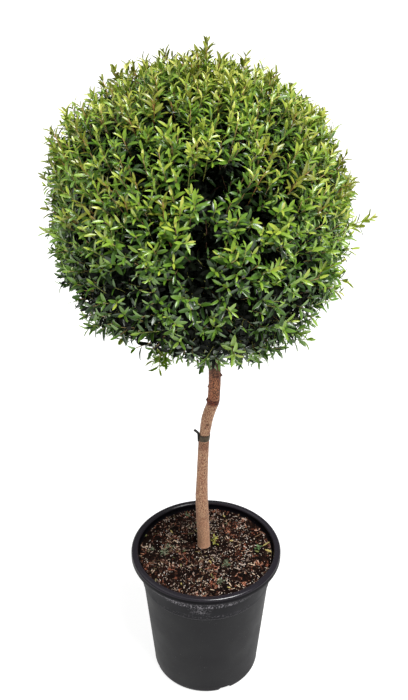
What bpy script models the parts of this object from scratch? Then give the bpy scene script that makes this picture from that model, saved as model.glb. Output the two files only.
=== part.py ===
"""Narrow-leaved myrtle grown as a standard: a clipped ball of foliage on one bare trunk, in a black
nursery pot. Metres, +Z up, with the plant's face to -Y. The origin is the centre of the pot's flat
underside."""

import math
import random

import bmesh
import bpy
from mathutils import Matrix, Vector, noise

CLEARANCE = 0.0003
WELD = 0.00005

# Pot: a thin turned shell with a flared rim, a stacking shoulder and drain slots round its foot.
POT_HEIGHT = 0.300
POT_RIM_RADIUS = 0.1508
POT_RIM_INNER_RADIUS = 0.1375
POT_RIM_DEPTH = 0.015
POT_BODY_TOP_RADIUS = 0.1355
POT_SHOULDER_HEIGHT = 0.229
POT_SHOULDER_STEP = 0.0018
POT_BASE_RADIUS = 0.111
POT_WALL = 0.003
POT_EDGE = 0.007
POT_BORE_FLARE = ((0.1322, 0.2790), (0.1362, 0.2885))  # radius, height: the bore widens from here to there
POT_SIDES = 48
DRAIN_SLOTS = 4
DRAIN_SLOT_FIRST_DEG = -69.0
DRAIN_SLOT_SIZE = Vector((0.030, 0.026, 0.018))
DRAIN_HOLES = 5
DRAIN_HOLE_RADIUS = 0.007
DRAIN_HOLE_CIRCLE = 0.070

# Potting mix, filled to a little under the rim.
SOIL_TOP = 0.2865

# Trunk stations: height, x, y and radius. The trunk bends to +X above the tie, then runs up the crown.
TRUNK_STATIONS = (
    (SOIL_TOP + CLEARANCE, -0.0043, 0.0190, 0.0136),
    (0.297, -0.0047, 0.0189, 0.0129),
    (0.343, -0.0064, 0.0182, 0.0129),
    (0.385, -0.0082, 0.0174, 0.0130),
    (0.416, -0.0090, 0.0168, 0.0127),
    (0.444, -0.0085, 0.0162, 0.0119),
    (0.500, -0.0069, 0.0150, 0.0106),
    (0.538, -0.0053, 0.0142, 0.0104),
    (0.556, -0.0038, 0.0139, 0.0098),
    (0.587, -0.0003, 0.0133, 0.0105),
    (0.602, 0.0023, 0.0131, 0.0108),
    (0.617, 0.0064, 0.0129, 0.0110),
    (0.632, 0.0120, 0.0127, 0.0113),
    (0.660, 0.0148, 0.0124, 0.0112),
    (0.690, 0.0155, 0.0118, 0.0110),
    (0.790, 0.0110, 0.0090, 0.0112),
    (0.880, 0.0040, 0.0060, 0.0090),
    (0.980, -0.0040, 0.0020, 0.0068),
    (1.112, -0.0100, 0.0000, 0.0042),
)
TRUNK_STEP = 0.021
TRUNK_SIDES = 10

# Plant tie: a flat strap round the trunk with one short tail.
TIE_HEIGHT = 0.5560
TIE_WIDTH = 0.0130
TIE_THICKNESS = 0.0012
TIE_TAIL_LENGTH = 0.016
TIE_TAIL_RADIUS = 0.0020

# Crown: a clipped ball, a little squarer than a sphere.
CROWN_CENTRE = Vector((-0.010, 0.0, 1.004))
CROWN_RADIUS = 0.243
CROWN_SQUARENESS = 2.2
CORE_SHARE = 0.875
CORE_INNER_RADIUS = 0.128
CORE_LUMP = 0.006
CORE_LUMP_SIZE = 0.055
CORE_SMALLEST_EDGE = 0.0006
TIP_SHARE = 1.075
MASS_GAP = 0.003
TRUNK_CLEAR = 0.034
LEAF_TO_TRUNK = 0.004

# Masses: one on top, and two rings that lean out by an elevation, each mass named for its place at an
# azimuth. Azimuth 0 is +X and 90 is +Y.
UPPER_RING_ELEVATION = 22.0
LOWER_RING_ELEVATION = -33.0
UPPER_RING = (("right", 0), ("back", 90), ("left", 180), ("front", 270))
LOWER_RING = (
    ("back_right", 45),
    ("back_left", 135),
    ("front_left", 225),
    ("front_right", 315),
)

# Boughs: where they leave the trunk, and the radii at the two ends.
BOUGH_TIP_RADIUS = 0.0034
BOUGH_BASE_RADIUS = 0.0056
BOUGH_TIP_DISTANCE = 0.112
UPPER_BOUGH_HEIGHT = 0.905
LOWER_BOUGH_HEIGHT = 0.812
UPPER_BOUGH_RISE_DEG = 16.0
LOWER_BOUGH_RISE_DEG = -8.0
BOUGH_SWEEP = 0.055
BOUGH_STRAIGHT_END = 0.004
BOUGH_POINTS = 9
BOUGH_SIDES = 8
STEM_SINK = 0.022

# Twigs and leaves, larger than life so that they fill the ball with few faces.
TWIGS = 104
TWIG_ROOT_SHARE = 0.74
TWIG_TIP_SHARE = 0.93
TWIG_RADIUS = 0.0021
TWIG_TIP_RADIUS = 0.0011
TWIG_LIFT = 0.35
TWIG_SCATTER = 0.22
LEAF_LENGTH = 0.052
LEAF_WIDTH = 0.0165
LEAF_THICKNESS = 0.0018
LEAF_WIDEST = 0.42
LEAF_PITCH_DEG = 48.0
LEAF_NODES = (0.52, 0.88)
TIP_LEAF_SCALE = 0.8
SEED = 11

# Shoots that stand out of the clipped ball: azimuth, elevation and distance of the tip from the
# crown's centre, azimuth and elevation of the way the shoot points, and its length.
STRAY_SHOOTS = (
    (70.0, 84.0, 0.269, 40.0, 80.0, 0.075),
    (-8.0, 1.0, 0.286, 0.0, 18.0, 0.100),
    (-12.0, -22.0, 0.272, -8.0, -8.0, 0.080),
    (236.0, -60.0, 0.266, 215.0, -42.0, 0.090),
)
STRAY_NODES = (0.36, 0.60, 0.84)
STRAY_LEAF_SCALE = 0.8
STRAY_REACH_SHARE = 1.3


# Helpers -----------------------------------------------------------------------------------------


def clear_scene():
    for obj in list(bpy.data.objects):
        bpy.data.objects.remove(obj, do_unlink=True)


def new_collection(name, parent=None, hidden=False):
    collection = bpy.data.collections.new(name)
    (parent or bpy.context.scene.collection).children.link(collection)
    collection.hide_render = hidden
    return collection


def new_material(name, colour, roughness, metallic=0.0):
    material = bpy.data.materials.new(name)
    material.use_nodes = True
    shader = material.node_tree.nodes["Principled BSDF"]
    shader.inputs["Base Color"].default_value = (*colour, 1.0)
    shader.inputs["Roughness"].default_value = roughness
    shader.inputs["Metallic"].default_value = metallic
    material.diffuse_color = (*colour, 1.0)
    return material


def add_object(name, mesh, collection, material=None):
    obj = bpy.data.objects.new(name, mesh)
    collection.objects.link(obj)
    if material and not mesh.materials:
        mesh.materials.append(material)
    return obj


def mesh_from(name, bm):
    mesh = bpy.data.meshes.new(name)
    bm.to_mesh(mesh)
    bm.free()
    return mesh


def evaluated_mesh(obj):
    graph = bpy.context.evaluated_depsgraph_get()
    return bpy.data.meshes.new_from_object(obj.evaluated_get(graph))


def apply_modifiers(obj):
    mesh = evaluated_mesh(obj)
    old = obj.data
    obj.modifiers.clear()
    obj.data = mesh
    bpy.data.meshes.remove(old)


def add_boolean(obj, operation, cutter=None, collection=None):
    modifier = obj.modifiers.new(operation.lower(), "BOOLEAN")
    modifier.operation = operation
    if collection:
        modifier.operand_type = "COLLECTION"
        modifier.collection = collection
    else:
        modifier.object = cutter
    return modifier


def hide_helper(obj):
    obj.hide_render = True
    obj.display_type = "WIRE"


def smooth(mesh, angle_deg=40.0):
    mesh.shade_smooth()
    mesh.set_sharp_from_angle(angle=math.radians(angle_deg))


def direction_of(azimuth_deg, elevation_deg):
    azimuth, elevation = math.radians(azimuth_deg), math.radians(elevation_deg)
    flat = math.cos(elevation)
    return Vector((flat * math.cos(azimuth), flat * math.sin(azimuth), math.sin(elevation)))


def frame_along(direction, roll=0.0):
    """A rotation whose Z axis lies along direction, turned about it by roll."""
    return direction.to_track_quat("Z", "Y").to_matrix() @ Matrix.Rotation(roll, 3, "Z")


def tube(name, points, radii, sides, collection):
    """A capped tapering tube through points, as a welded mesh object."""
    curve = bpy.data.curves.new(name, "CURVE")
    curve.dimensions = "3D"
    curve.bevel_depth = 1.0
    curve.bevel_resolution = sides // 2 - 2
    curve.use_fill_caps = True
    spline = curve.splines.new("POLY")
    spline.points.add(len(points) - 1)
    for spot, point, radius in zip(spline.points, points, radii):
        spot.co = (*point, 1.0)
        spot.radius = radius
    guide = bpy.data.objects.new(name + "_curve", curve)
    collection.objects.link(guide)
    bpy.context.view_layer.update()
    bm = bmesh.new()
    bm.from_mesh(evaluated_mesh(guide))
    bmesh.ops.remove_doubles(bm, verts=bm.verts, dist=WELD)
    bmesh.ops.recalc_face_normals(bm, faces=bm.faces)
    bpy.data.objects.remove(guide)
    bpy.data.curves.remove(curve)
    obj = add_object(name, mesh_from(name, bm), collection)
    smooth(obj.data)
    return obj


# Pot and soil ------------------------------------------------------------------------------------


def turned(name, profile, sides, collection, material):
    """The profile (radius, height), closed on the axis or round a wall, turned once about Z."""
    bm = bmesh.new()
    spots = [bm.verts.new((radius, 0.0, height)) for radius, height in profile]
    for first, second in zip(spots, spots[1:]):
        bm.edges.new((first, second))
    obj = add_object(name, mesh_from(name, bm), collection, material)
    screw = obj.modifiers.new("turn", "SCREW")
    screw.axis = "Z"
    screw.steps = screw.render_steps = sides
    screw.use_merge_vertices = True
    screw.merge_threshold = WELD
    screw.use_smooth_shade = True
    return obj


def pot_body_radius(height):
    """The pot's outer radius below its rim, without the shoulder's step."""
    share = height / (POT_HEIGHT - POT_RIM_DEPTH)
    return POT_BASE_RADIUS + (POT_BODY_TOP_RADIUS - POT_BASE_RADIUS) * share


def pot_profile():
    """Down the outside from the rim's crest, across the floor, and up the inside to the crest again."""
    rim_foot = POT_HEIGHT - POT_RIM_DEPTH
    crest = (POT_RIM_RADIUS + POT_RIM_INNER_RADIUS) / 2
    step = POT_SHOULDER_STEP
    inner_base = POT_BASE_RADIUS - POT_WALL
    return [
        (crest, POT_HEIGHT),
        (POT_RIM_RADIUS - 0.0030, POT_HEIGHT - 0.0010),
        (POT_RIM_RADIUS - 0.0006, POT_HEIGHT - 0.0042),
        (POT_RIM_RADIUS, POT_HEIGHT - 0.0080),
        (POT_RIM_RADIUS - 0.0015, rim_foot),
        (POT_RIM_RADIUS - 0.0050, rim_foot - 0.0010),
        (POT_BODY_TOP_RADIUS + 0.0025, rim_foot + 0.0005),
        (POT_BODY_TOP_RADIUS, rim_foot - 0.0030),
        (pot_body_radius(POT_SHOULDER_HEIGHT) + 0.0004, POT_SHOULDER_HEIGHT + 0.0015),
        (pot_body_radius(POT_SHOULDER_HEIGHT) - step, POT_SHOULDER_HEIGHT - 0.0010),
        (POT_BASE_RADIUS, POT_EDGE * 1.6),
        (POT_BASE_RADIUS - POT_EDGE * 0.35, POT_EDGE * 0.45),
        (POT_BASE_RADIUS - POT_EDGE * 1.2, 0.0),
        (0.0, 0.0),
        (0.0, POT_WALL),
        (inner_base - 0.006, POT_WALL),
        (inner_base - 0.001, POT_WALL + 0.006),
        *POT_BORE_FLARE,
        (POT_RIM_INNER_RADIUS - 0.0003, POT_HEIGHT - 0.0045),
        (POT_RIM_INNER_RADIUS + 0.0012, POT_HEIGHT - 0.0012),
        (crest, POT_HEIGHT),
    ]


def make_pot(collection, cutters, material):
    pot = turned("pot", pot_profile(), POT_SIDES, collection, material)
    for k in range(DRAIN_SLOTS):
        bm = bmesh.new()
        bmesh.ops.create_cube(bm, size=1.0, matrix=Matrix.Diagonal((*DRAIN_SLOT_SIZE, 1.0)))
        slot = add_object(f"cut_slot_{k}", mesh_from("slot", bm), cutters)
        turn = math.radians(DRAIN_SLOT_FIRST_DEG + 360.0 * k / DRAIN_SLOTS)
        slot.location = (POT_BASE_RADIUS * math.cos(turn), POT_BASE_RADIUS * math.sin(turn), 0.0)
        slot.rotation_euler.z = turn
    for k in range(DRAIN_HOLES):
        bm = bmesh.new()
        bmesh.ops.create_cone(
            bm, cap_ends=True, segments=12, radius1=DRAIN_HOLE_RADIUS,
            radius2=DRAIN_HOLE_RADIUS, depth=4 * POT_WALL,
        )
        hole = add_object(f"cut_hole_{k}", mesh_from("hole", bm), cutters)
        turn = 2 * math.pi * k / DRAIN_HOLES
        hole.location = (DRAIN_HOLE_CIRCLE * math.cos(turn), DRAIN_HOLE_CIRCLE * math.sin(turn), 0.0)
    for cutter in cutters.objects:
        hide_helper(cutter)
    add_boolean(pot, "DIFFERENCE", collection=cutters)
    return pot


def make_soil(collection, material):
    """Fills the pot to SOIL_TOP, clear of its wall and floor."""
    (bore, bore_height), (mouth, mouth_height) = POT_BORE_FLARE
    clear = 2 * CLEARANCE
    inner_base = POT_BASE_RADIUS - POT_WALL - clear
    top = bore + (mouth - bore) * (SOIL_TOP - bore_height) / (mouth_height - bore_height) - clear
    profile = [
        (0.0, SOIL_TOP),
        (top - 0.0010, SOIL_TOP),
        (top - 0.0008, SOIL_TOP - 0.0010),
        (bore - clear, bore_height - 0.0005),
        (inner_base - 0.001, POT_WALL + 0.0065),
        (inner_base - 0.006, POT_WALL + CLEARANCE),
        (0.0, POT_WALL + CLEARANCE),
    ]
    return turned("soil", profile, POT_SIDES, collection, material)


# Trunk, tie and boughs ---------------------------------------------------------------------------


def trunk_at(height):
    """The trunk's axis and radius at a height, on a smooth curve through the stations."""
    stations = TRUNK_STATIONS
    last = len(stations) - 2
    k = next((i for i in range(last) if stations[i + 1][0] >= height), last)
    before, start, end = stations[max(k - 1, 0)], stations[k], stations[k + 1]
    after = stations[min(k + 2, len(stations) - 1)]
    share = (height - start[0]) / (end[0] - start[0])
    span = end[0] - start[0]
    values = []
    for axis in (1, 2, 3):
        rise_in = (end[axis] - before[axis]) / (end[0] - before[0]) * span
        rise_out = (after[axis] - start[axis]) / (after[0] - start[0]) * span
        s2, s3 = share * share, share**3
        values.append(
            start[axis] * (2 * s3 - 3 * s2 + 1) + rise_in * (s3 - 2 * s2 + share)
            + end[axis] * (3 * s2 - 2 * s3) + rise_out * (s3 - s2)
        )
    return Vector((values[0], values[1], height)), values[2]


def trunk_path(extra_radius=0.0):
    """Points and radii up the trunk. The first stretch stands upright, so that its foot is a level cut."""
    foot, tip = TRUNK_STATIONS[0][0], TRUNK_STATIONS[-1][0]
    count = round((tip - foot) / TRUNK_STEP)
    heights = [foot, foot + 0.004] + [foot + (tip - foot) * k / count for k in range(1, count + 1)]
    stretch = [trunk_at(height) for height in heights]
    points = [point for point, _ in stretch]
    points[1] = Vector((*points[0].xy, heights[1]))
    return points, [radius + extra_radius for _, radius in stretch]


def make_trunk(collection, material):
    points, radii = trunk_path()
    trunk = tube("trunk", points, radii, TRUNK_SIDES, collection)
    trunk.data.materials.append(material)
    return trunk


def make_tie(collection, cutters, material):
    """The strap is a ring cut by the trunk with its clearance, and the tail is fused on at the left."""
    centre, radius = trunk_at(TIE_HEIGHT)
    bm = bmesh.new()
    outer = radius + TIE_THICKNESS + CLEARANCE
    bmesh.ops.create_cone(
        bm, cap_ends=True, segments=24, radius1=outer, radius2=outer, depth=TIE_WIDTH,
        matrix=Matrix.Translation(centre),
    )
    tie = add_object("tie", mesh_from("tie", bm), collection, material)
    lean = (trunk_at(TIE_HEIGHT + 0.01)[0] - trunk_at(TIE_HEIGHT - 0.01)[0]).normalized()
    side = Vector((-0.90, -0.43, 0.0)).normalized()
    root = centre + side * (outer - TIE_THICKNESS * 0.6) + lean * TIE_WIDTH * 0.30
    tail_way = (side + Vector((0.0, 0.0, 0.75))).normalized()
    pieces = new_collection("tie_pieces")
    tail = tube(
        "tail", [root, root + side * 0.003 + lean * 0.001, root + tail_way * TIE_TAIL_LENGTH],
        [TIE_TAIL_RADIUS * 1.2, TIE_TAIL_RADIUS, TIE_TAIL_RADIUS], 8, pieces,
    )
    points, radii = trunk_path(CLEARANCE)
    bore = tube("cut_tie_bore", points, radii, 2 * TRUNK_SIDES, cutters)
    hide_helper(bore)
    add_boolean(tie, "UNION", cutter=tail)
    add_boolean(tie, "DIFFERENCE", cutter=bore)
    apply_modifiers(tie)
    bpy.data.objects.remove(tail)
    bpy.data.collections.remove(pieces)
    return tie


def bough_path(mass):
    """From inside the trunk, up and out to the tip that carries the mass."""
    height = UPPER_BOUGH_HEIGHT if mass["ring"] == "upper" else LOWER_BOUGH_HEIGHT
    root = trunk_at(height)[0]
    tip = mass["bough_tip"]
    bend = tip - mass["stem_way"] * BOUGH_SWEEP
    points = []
    for k in range(BOUGH_POINTS):
        s = k / (BOUGH_POINTS - 1)
        points.append(root * (1 - s) ** 2 + bend * 2 * s * (1 - s) + tip * s * s)
    points.insert(-1, tip - mass["stem_way"] * BOUGH_STRAIGHT_END)
    radii = [
        BOUGH_TIP_RADIUS + (BOUGH_BASE_RADIUS - BOUGH_TIP_RADIUS) * (1 - k / (len(points) - 1))
        for k in range(len(points))
    ]
    radii[-2] = radii[-1] = BOUGH_TIP_RADIUS
    return points, radii


def make_bough(mass, collection, trunk_cutter, material):
    points, radii = bough_path(mass)
    bough = tube("bough_" + mass["name"], points, radii, BOUGH_SIDES, collection)
    bough.data.materials.append(material)
    add_boolean(bough, "DIFFERENCE", cutter=trunk_cutter)
    return bough


# Crown -------------------------------------------------------------------------------------------


def crown_reach(direction):
    """The clipped ball's radius in a direction: a sphere drawn out towards its diagonals."""
    power = CROWN_SQUARENESS
    total = sum(abs(part) ** power for part in direction)
    return CROWN_RADIUS * total ** (-1.0 / power)


def plan_masses():
    """One entry for each mass of foliage: its name, its axis and where its stem starts."""
    masses = [{"name": "top", "ring": "top", "axis": Vector((0.0, 0.0, 1.0))}]
    for ring, elevation, places in (
        ("upper", UPPER_RING_ELEVATION, UPPER_RING),
        ("lower", LOWER_RING_ELEVATION, LOWER_RING),
    ):
        for place, azimuth in places:
            name = f"{ring}_{place}"
            masses.append({"name": name, "ring": ring, "axis": direction_of(azimuth, elevation)})
    for mass in masses:
        axis = mass["axis"]
        if mass["ring"] == "top":
            mass["stem_way"] = Vector((0.0, 0.0, 1.0))
            mass["bough_tip"] = Vector(trunk_at(TRUNK_STATIONS[-1][0])[0])
        else:
            flat = Vector((axis.x, axis.y, 0.0)).normalized()
            upper = mass["ring"] == "upper"
            rise = math.radians(UPPER_BOUGH_RISE_DEG if upper else LOWER_BOUGH_RISE_DEG)
            mass["stem_way"] = flat * math.cos(rise) + Vector((0.0, 0.0, math.sin(rise)))
            mass["bough_tip"] = CROWN_CENTRE + axis * BOUGH_TIP_DISTANCE
    for mass in masses:
        others = [other["axis"] for other in masses if other is not mass]
        mass["walls"] = [(mass["axis"] - other).normalized() for other in others]
    return masses


def trunk_plane(mass):
    """A point and normal of the upright plane that keeps a low mass clear of the trunk."""
    flat = Vector((mass["axis"].x, mass["axis"].y, 0.0)).normalized()
    height = CROWN_CENTRE.z - CROWN_RADIUS
    return trunk_at(height)[0] + flat * TRUNK_CLEAR, flat


def in_space(mass, point, reach_share):
    """True if a point lies in the mass's own share of the ball, clear of the trunk."""
    offset = point - CROWN_CENTRE
    if any(offset.dot(wall) < MASS_GAP / 2 for wall in mass["walls"]):
        return False
    if offset.length > crown_reach(offset.normalized()) * reach_share:
        return False
    axis, radius = trunk_at(min(max(point.z, SOIL_TOP), TRUNK_STATIONS[-1][0]))
    return (point.xy - axis.xy).length > radius + LEAF_TO_TRUNK


def make_core(mass, collection, material):
    """The lumpy inner body of a mass: a ball cut by the planes to its neighbours and to the middle."""
    bm = bmesh.new()
    bmesh.ops.create_icosphere(bm, subdivisions=3, radius=1.0)
    for vert in bm.verts:
        way = vert.co.normalized()
        lump = CORE_LUMP * noise.noise(way * CROWN_RADIUS / CORE_LUMP_SIZE + Vector((SEED, 0.0, 0.0)))
        vert.co = CROWN_CENTRE + way * (crown_reach(way) * CORE_SHARE + lump)
    planes = [(CROWN_CENTRE + wall * MASS_GAP / 2, wall) for wall in mass["walls"]]
    planes.append((CROWN_CENTRE + mass["axis"] * CORE_INNER_RADIUS, mass["axis"]))
    if mass["ring"] == "lower":
        planes.append(trunk_plane(mass))
    for point, normal in planes:
        cut = bmesh.ops.bisect_plane(
            bm, geom=bm.verts[:] + bm.edges[:] + bm.faces[:], plane_co=point, plane_no=normal,
            dist=0.00001, clear_inner=True,
        )
        rim = [item for item in cut["geom_cut"] if isinstance(item, bmesh.types.BMEdge)]
        if rim:
            bmesh.ops.edgeloop_fill(bm, edges=rim)
    bmesh.ops.remove_doubles(bm, verts=bm.verts, dist=CORE_SMALLEST_EDGE)
    bmesh.ops.triangulate(bm, faces=bm.faces)
    bmesh.ops.recalc_face_normals(bm, faces=bm.faces)
    return add_object("foliage_" + mass["name"], mesh_from(mass["name"], bm), collection, material)


def leaf_mesh():
    """An eight-faced blade along +Z from its root, widest before the middle, flat across Y."""
    bm = bmesh.new()
    bmesh.ops.create_uvsphere(bm, u_segments=4, v_segments=2, radius=0.5)
    for vert in bm.verts:
        along = vert.co.z + 0.5
        if 0.01 < along < 0.99:
            along = LEAF_WIDEST
        vert.co = Vector((vert.co.x * LEAF_WIDTH, vert.co.y * LEAF_THICKNESS, along * LEAF_LENGTH))
    return mesh_from("leaf", bm)


def twig_mesh(length, root_radius, tip_radius):
    """A three-sided twig along +Z from its root."""
    bm = bmesh.new()
    bmesh.ops.create_cone(
        bm, cap_ends=True, segments=3, radius1=root_radius, radius2=tip_radius, depth=length,
        matrix=Matrix.Translation((0.0, 0.0, length / 2)),
    )
    return mesh_from("twig", bm)


def place(name, mesh, collection, point, rotation, scale=1.0):
    obj = add_object(name, mesh, collection)
    obj.matrix_world = Matrix.LocRotScale(point, rotation, (scale, scale, scale))
    return obj


def leaf_fits(mass, point, rotation, scale, reach_share):
    half = LEAF_WIDTH * scale / 2
    length = LEAF_LENGTH * scale
    spots = ((0, 0, length), (half, 0, length * LEAF_WIDEST), (-half, 0, length * LEAF_WIDEST))
    return all(in_space(mass, point + rotation @ Vector(spot), reach_share) for spot in spots)


def add_leaf(mass, pieces, leaf, point, rotation, scale, reach_share):
    """Fuses one leaf on with its root sunk in the twig, or skips it where it would leave its space."""
    if not leaf_fits(mass, point, rotation, scale, reach_share):
        return 0
    place("leaf", leaf, pieces, point, rotation, scale)
    return 1


def add_twig(mass, pieces, leaf, root, way, length, nodes, scale, reach_share, rng):
    """One twig with opposite pairs of leaves, each pair turned a quarter from the last, and a tip leaf."""
    tip = root + way * length
    if not in_space(mass, tip, reach_share) or not in_space(mass, root, reach_share):
        return 0
    roll = rng.uniform(0.0, math.pi)
    place("twig", twig_mesh(length, TWIG_RADIUS, TWIG_TIP_RADIUS), pieces, root, frame_along(way, roll))
    count = 0
    for step, share in enumerate(nodes):
        for side in range(2):
            turn = roll + math.pi * side + math.pi / 2 * (step % 2) + rng.uniform(-0.25, 0.25)
            pitch = math.radians(LEAF_PITCH_DEG + rng.uniform(-9.0, 9.0))
            rotation = frame_along(way, turn) @ Matrix.Rotation(pitch, 3, "X")
            start = root + way * length * share - rotation @ Vector((0, 0, TWIG_RADIUS * 0.7))
            count += add_leaf(mass, pieces, leaf, start, rotation, scale, reach_share)
    rotation = frame_along(way, roll + 0.8) @ Matrix.Rotation(0.15, 3, "X")
    start = tip - way * TWIG_RADIUS * 2.5
    return count + add_leaf(mass, pieces, leaf, start, rotation, scale * TIP_LEAF_SCALE, reach_share)


def ball_directions(count):
    """Evenly spread directions over the whole ball, by the golden angle."""
    golden = math.pi * (3 - math.sqrt(5))
    for k in range(count):
        z = 1 - (2 * k + 1) / count
        flat = math.sqrt(1 - z * z)
        yield Vector((flat * math.cos(k * golden), flat * math.sin(k * golden), z))


def keep_outer_shell(obj):
    """Drops the loose scraps and sealed hollows that a union can leave: only the widest shell stays."""
    bm = bmesh.new()
    bm.from_mesh(obj.data)
    left, shells = set(bm.verts), []
    while left:
        seed = left.pop()
        shell, edge = {seed}, [seed]
        while edge:
            for link in edge.pop().link_edges:
                for vert in link.verts:
                    if vert not in shell:
                        shell.add(vert)
                        edge.append(vert)
        left -= shell
        shells.append(shell)
    keep = max(shells, key=len)
    bmesh.ops.delete(bm, geom=[v for v in bm.verts if v not in keep], context="VERTS")
    bm.to_mesh(obj.data)
    bm.free()


def make_mass(mass, collection, leaf, bark, leaves):
    """Stem, twigs and leaves round a core, joined by one union into a single solid."""
    rng = random.Random(f"{SEED}-{mass['name']}")
    core = make_core(mass, collection, leaves)
    pieces = new_collection("pieces_" + mass["name"])
    start = mass["bough_tip"] + mass["stem_way"] * CLEARANCE
    stem_radius = TRUNK_STATIONS[-1][3] if mass["ring"] == "top" else BOUGH_TIP_RADIUS
    end = CROWN_CENTRE + mass["axis"] * (CORE_INNER_RADIUS + STEM_SINK)
    stem = tube(
        "stem", [start, start + mass["stem_way"] * 0.006, end],
        [stem_radius, stem_radius * 0.95, stem_radius * 0.7], BOUGH_SIDES, pieces,
    )
    stem.data.materials.append(bark)
    count = 0
    for way in ball_directions(TWIGS):
        if any(way.dot(wall) < 0 for wall in mass["walls"]):
            continue
        scatter = Vector([rng.uniform(-1.0, 1.0) for _ in range(3)]) * TWIG_SCATTER
        lean = (way + Vector((0.0, 0.0, TWIG_LIFT * (0.35 + way.z))) + scatter).normalized()
        reach = crown_reach(way)
        root = CROWN_CENTRE + way * reach * TWIG_ROOT_SHARE
        length = reach * (TWIG_TIP_SHARE - TWIG_ROOT_SHARE) * rng.uniform(0.92, 1.12)
        scale = rng.uniform(0.88, 1.12)
        count += add_twig(
            mass, pieces, leaf, root, lean, length, LEAF_NODES, scale, TIP_SHARE, rng
        )
    for azimuth, elevation, reach, way_azimuth, way_elevation, length in STRAY_SHOOTS:
        tip = CROWN_CENTRE + direction_of(azimuth, elevation) * reach
        way = direction_of(way_azimuth, way_elevation)
        root = tip - way * length
        length -= LEAF_LENGTH * STRAY_LEAF_SCALE * TIP_LEAF_SCALE * 0.9
        count += add_twig(
            mass, pieces, leaf, root, way, length, STRAY_NODES, STRAY_LEAF_SCALE,
            STRAY_REACH_SHARE, rng,
        )
    add_boolean(core, "UNION", collection=pieces)
    bpy.context.view_layer.update()
    apply_modifiers(core)
    for obj in list(pieces.objects):
        bpy.data.objects.remove(obj)
    bpy.data.collections.remove(pieces)
    keep_outer_shell(core)
    core.data.materials.clear()
    core.data.materials.append(leaves)
    return count


def main():
    clear_scene()
    plant = new_collection("myrtle_standard")
    cutters = new_collection("cutters", hidden=True)
    pot_cutters = new_collection("pot_cutters", cutters, hidden=True)
    plastic = new_material("pot_plastic", (0.040, 0.040, 0.043), 0.5)
    earth = new_material("potting_mix", (0.055, 0.033, 0.024), 0.95)
    bark = new_material("bark", (0.35, 0.19, 0.115), 0.85)
    strap = new_material("tie_strap", (0.085, 0.070, 0.045), 0.6)
    leaves = new_material("leaves", (0.090, 0.170, 0.025), 0.45)
    make_pot(plant, pot_cutters, plastic)
    make_soil(plant, earth)
    make_trunk(plant, bark)
    make_tie(plant, cutters, strap)
    points, radii = trunk_path(CLEARANCE)
    trunk_cutter = tube("cut_trunk", points, radii, TRUNK_SIDES, cutters)
    hide_helper(trunk_cutter)
    masses = plan_masses()
    leaf = leaf_mesh()
    count = 0
    for mass in masses:
        if mass["ring"] != "top":
            make_bough(mass, plant, trunk_cutter, bark)
        count += make_mass(mass, plant, leaf, bark, leaves)
    print(len(masses), "masses,", count, "leaves")


main()
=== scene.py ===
# Standard lollipop myrtle in its nursery pot: the finish of every piece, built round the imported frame.

import math

import bmesh
import bpy
import numpy as np
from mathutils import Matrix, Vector, noise


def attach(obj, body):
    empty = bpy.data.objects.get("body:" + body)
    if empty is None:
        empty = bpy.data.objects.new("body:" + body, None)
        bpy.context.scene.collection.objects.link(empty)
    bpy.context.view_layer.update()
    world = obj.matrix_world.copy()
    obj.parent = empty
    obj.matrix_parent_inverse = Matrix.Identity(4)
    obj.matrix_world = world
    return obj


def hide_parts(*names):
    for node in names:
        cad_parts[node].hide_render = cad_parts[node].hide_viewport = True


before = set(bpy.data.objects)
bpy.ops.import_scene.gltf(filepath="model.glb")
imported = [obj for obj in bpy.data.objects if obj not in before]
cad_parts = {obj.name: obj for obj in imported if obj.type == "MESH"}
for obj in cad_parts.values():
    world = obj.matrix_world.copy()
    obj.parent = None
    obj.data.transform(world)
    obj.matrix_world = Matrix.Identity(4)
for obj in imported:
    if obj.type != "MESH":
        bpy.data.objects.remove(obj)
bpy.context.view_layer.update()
print("frame loaded:", len(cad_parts), "nodes")

scene = bpy.context.scene
tau = 2 * math.pi
upright = np.array((0.0, 0.0, 1.0))


# Colours and nodes

def toLinear(hexColour):
    parts = [int(hexColour[k:k + 2], 16) / 255 for k in (1, 3, 5)]
    linear = [p / 12.92 if p <= 0.04045 else ((p + 0.055) / 1.055) ** 2.4 for p in parts]
    return (*linear, 1.0)


def setNode(node, settings):
    # a ramp's stops, attributes, and inputs by name or number, each with a socket to link to it or a value;
    # colours are in hex
    for name, value in settings.items():
        if name == "stops":
            ramp = node.color_ramp.elements
            while len(ramp) < len(value):
                ramp.new(0.5)
            for stop, (place, hexColour) in zip(ramp, value):
                stop.position = place
                stop.color = toLinear(hexColour)
        elif not isinstance(name, int) and name not in node.inputs:
            setattr(node, name, value)
        elif isinstance(value, bpy.types.NodeSocket):
            node.id_data.links.new(value, node.inputs[name])
        else:
            node.inputs[name].default_value = toLinear(value) if isinstance(value, str) else value


def addNode(tree, kind, settings=None, output=0):
    node = tree.nodes.new("ShaderNode" + kind)
    setNode(node, settings or {})
    return node.outputs[output]


def startMaterial(name, hexColour, roughness, ior=1.46):
    material = bpy.data.materials.new(name)
    material.use_nodes = True
    shader = material.node_tree.nodes["Principled BSDF"]
    setNode(shader, {"Base Color": hexColour, "Roughness": roughness, "IOR": ior})
    return material, material.node_tree, shader


def plainMaterials(colours, roughness, ior=1.46):
    # one material for each colour of a dictionary that also has its share
    return [startMaterial(name, colour, roughness, ior)[0] for name, (colour, _) in colours.items()]


def pickSlots(rng, colours, count):
    shares = np.array([share for _, share in colours.values()])
    return rng.choice(len(colours), count, p=shares / shares.sum())


# Meshes from arrays

def unit(vectors):
    return vectors / np.maximum(np.linalg.norm(vectors, axis=-1, keepdims=True), 1e-9)


def newSoup():
    return {"verts": [], "faces": [], "slots": [], "count": 0}


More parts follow.
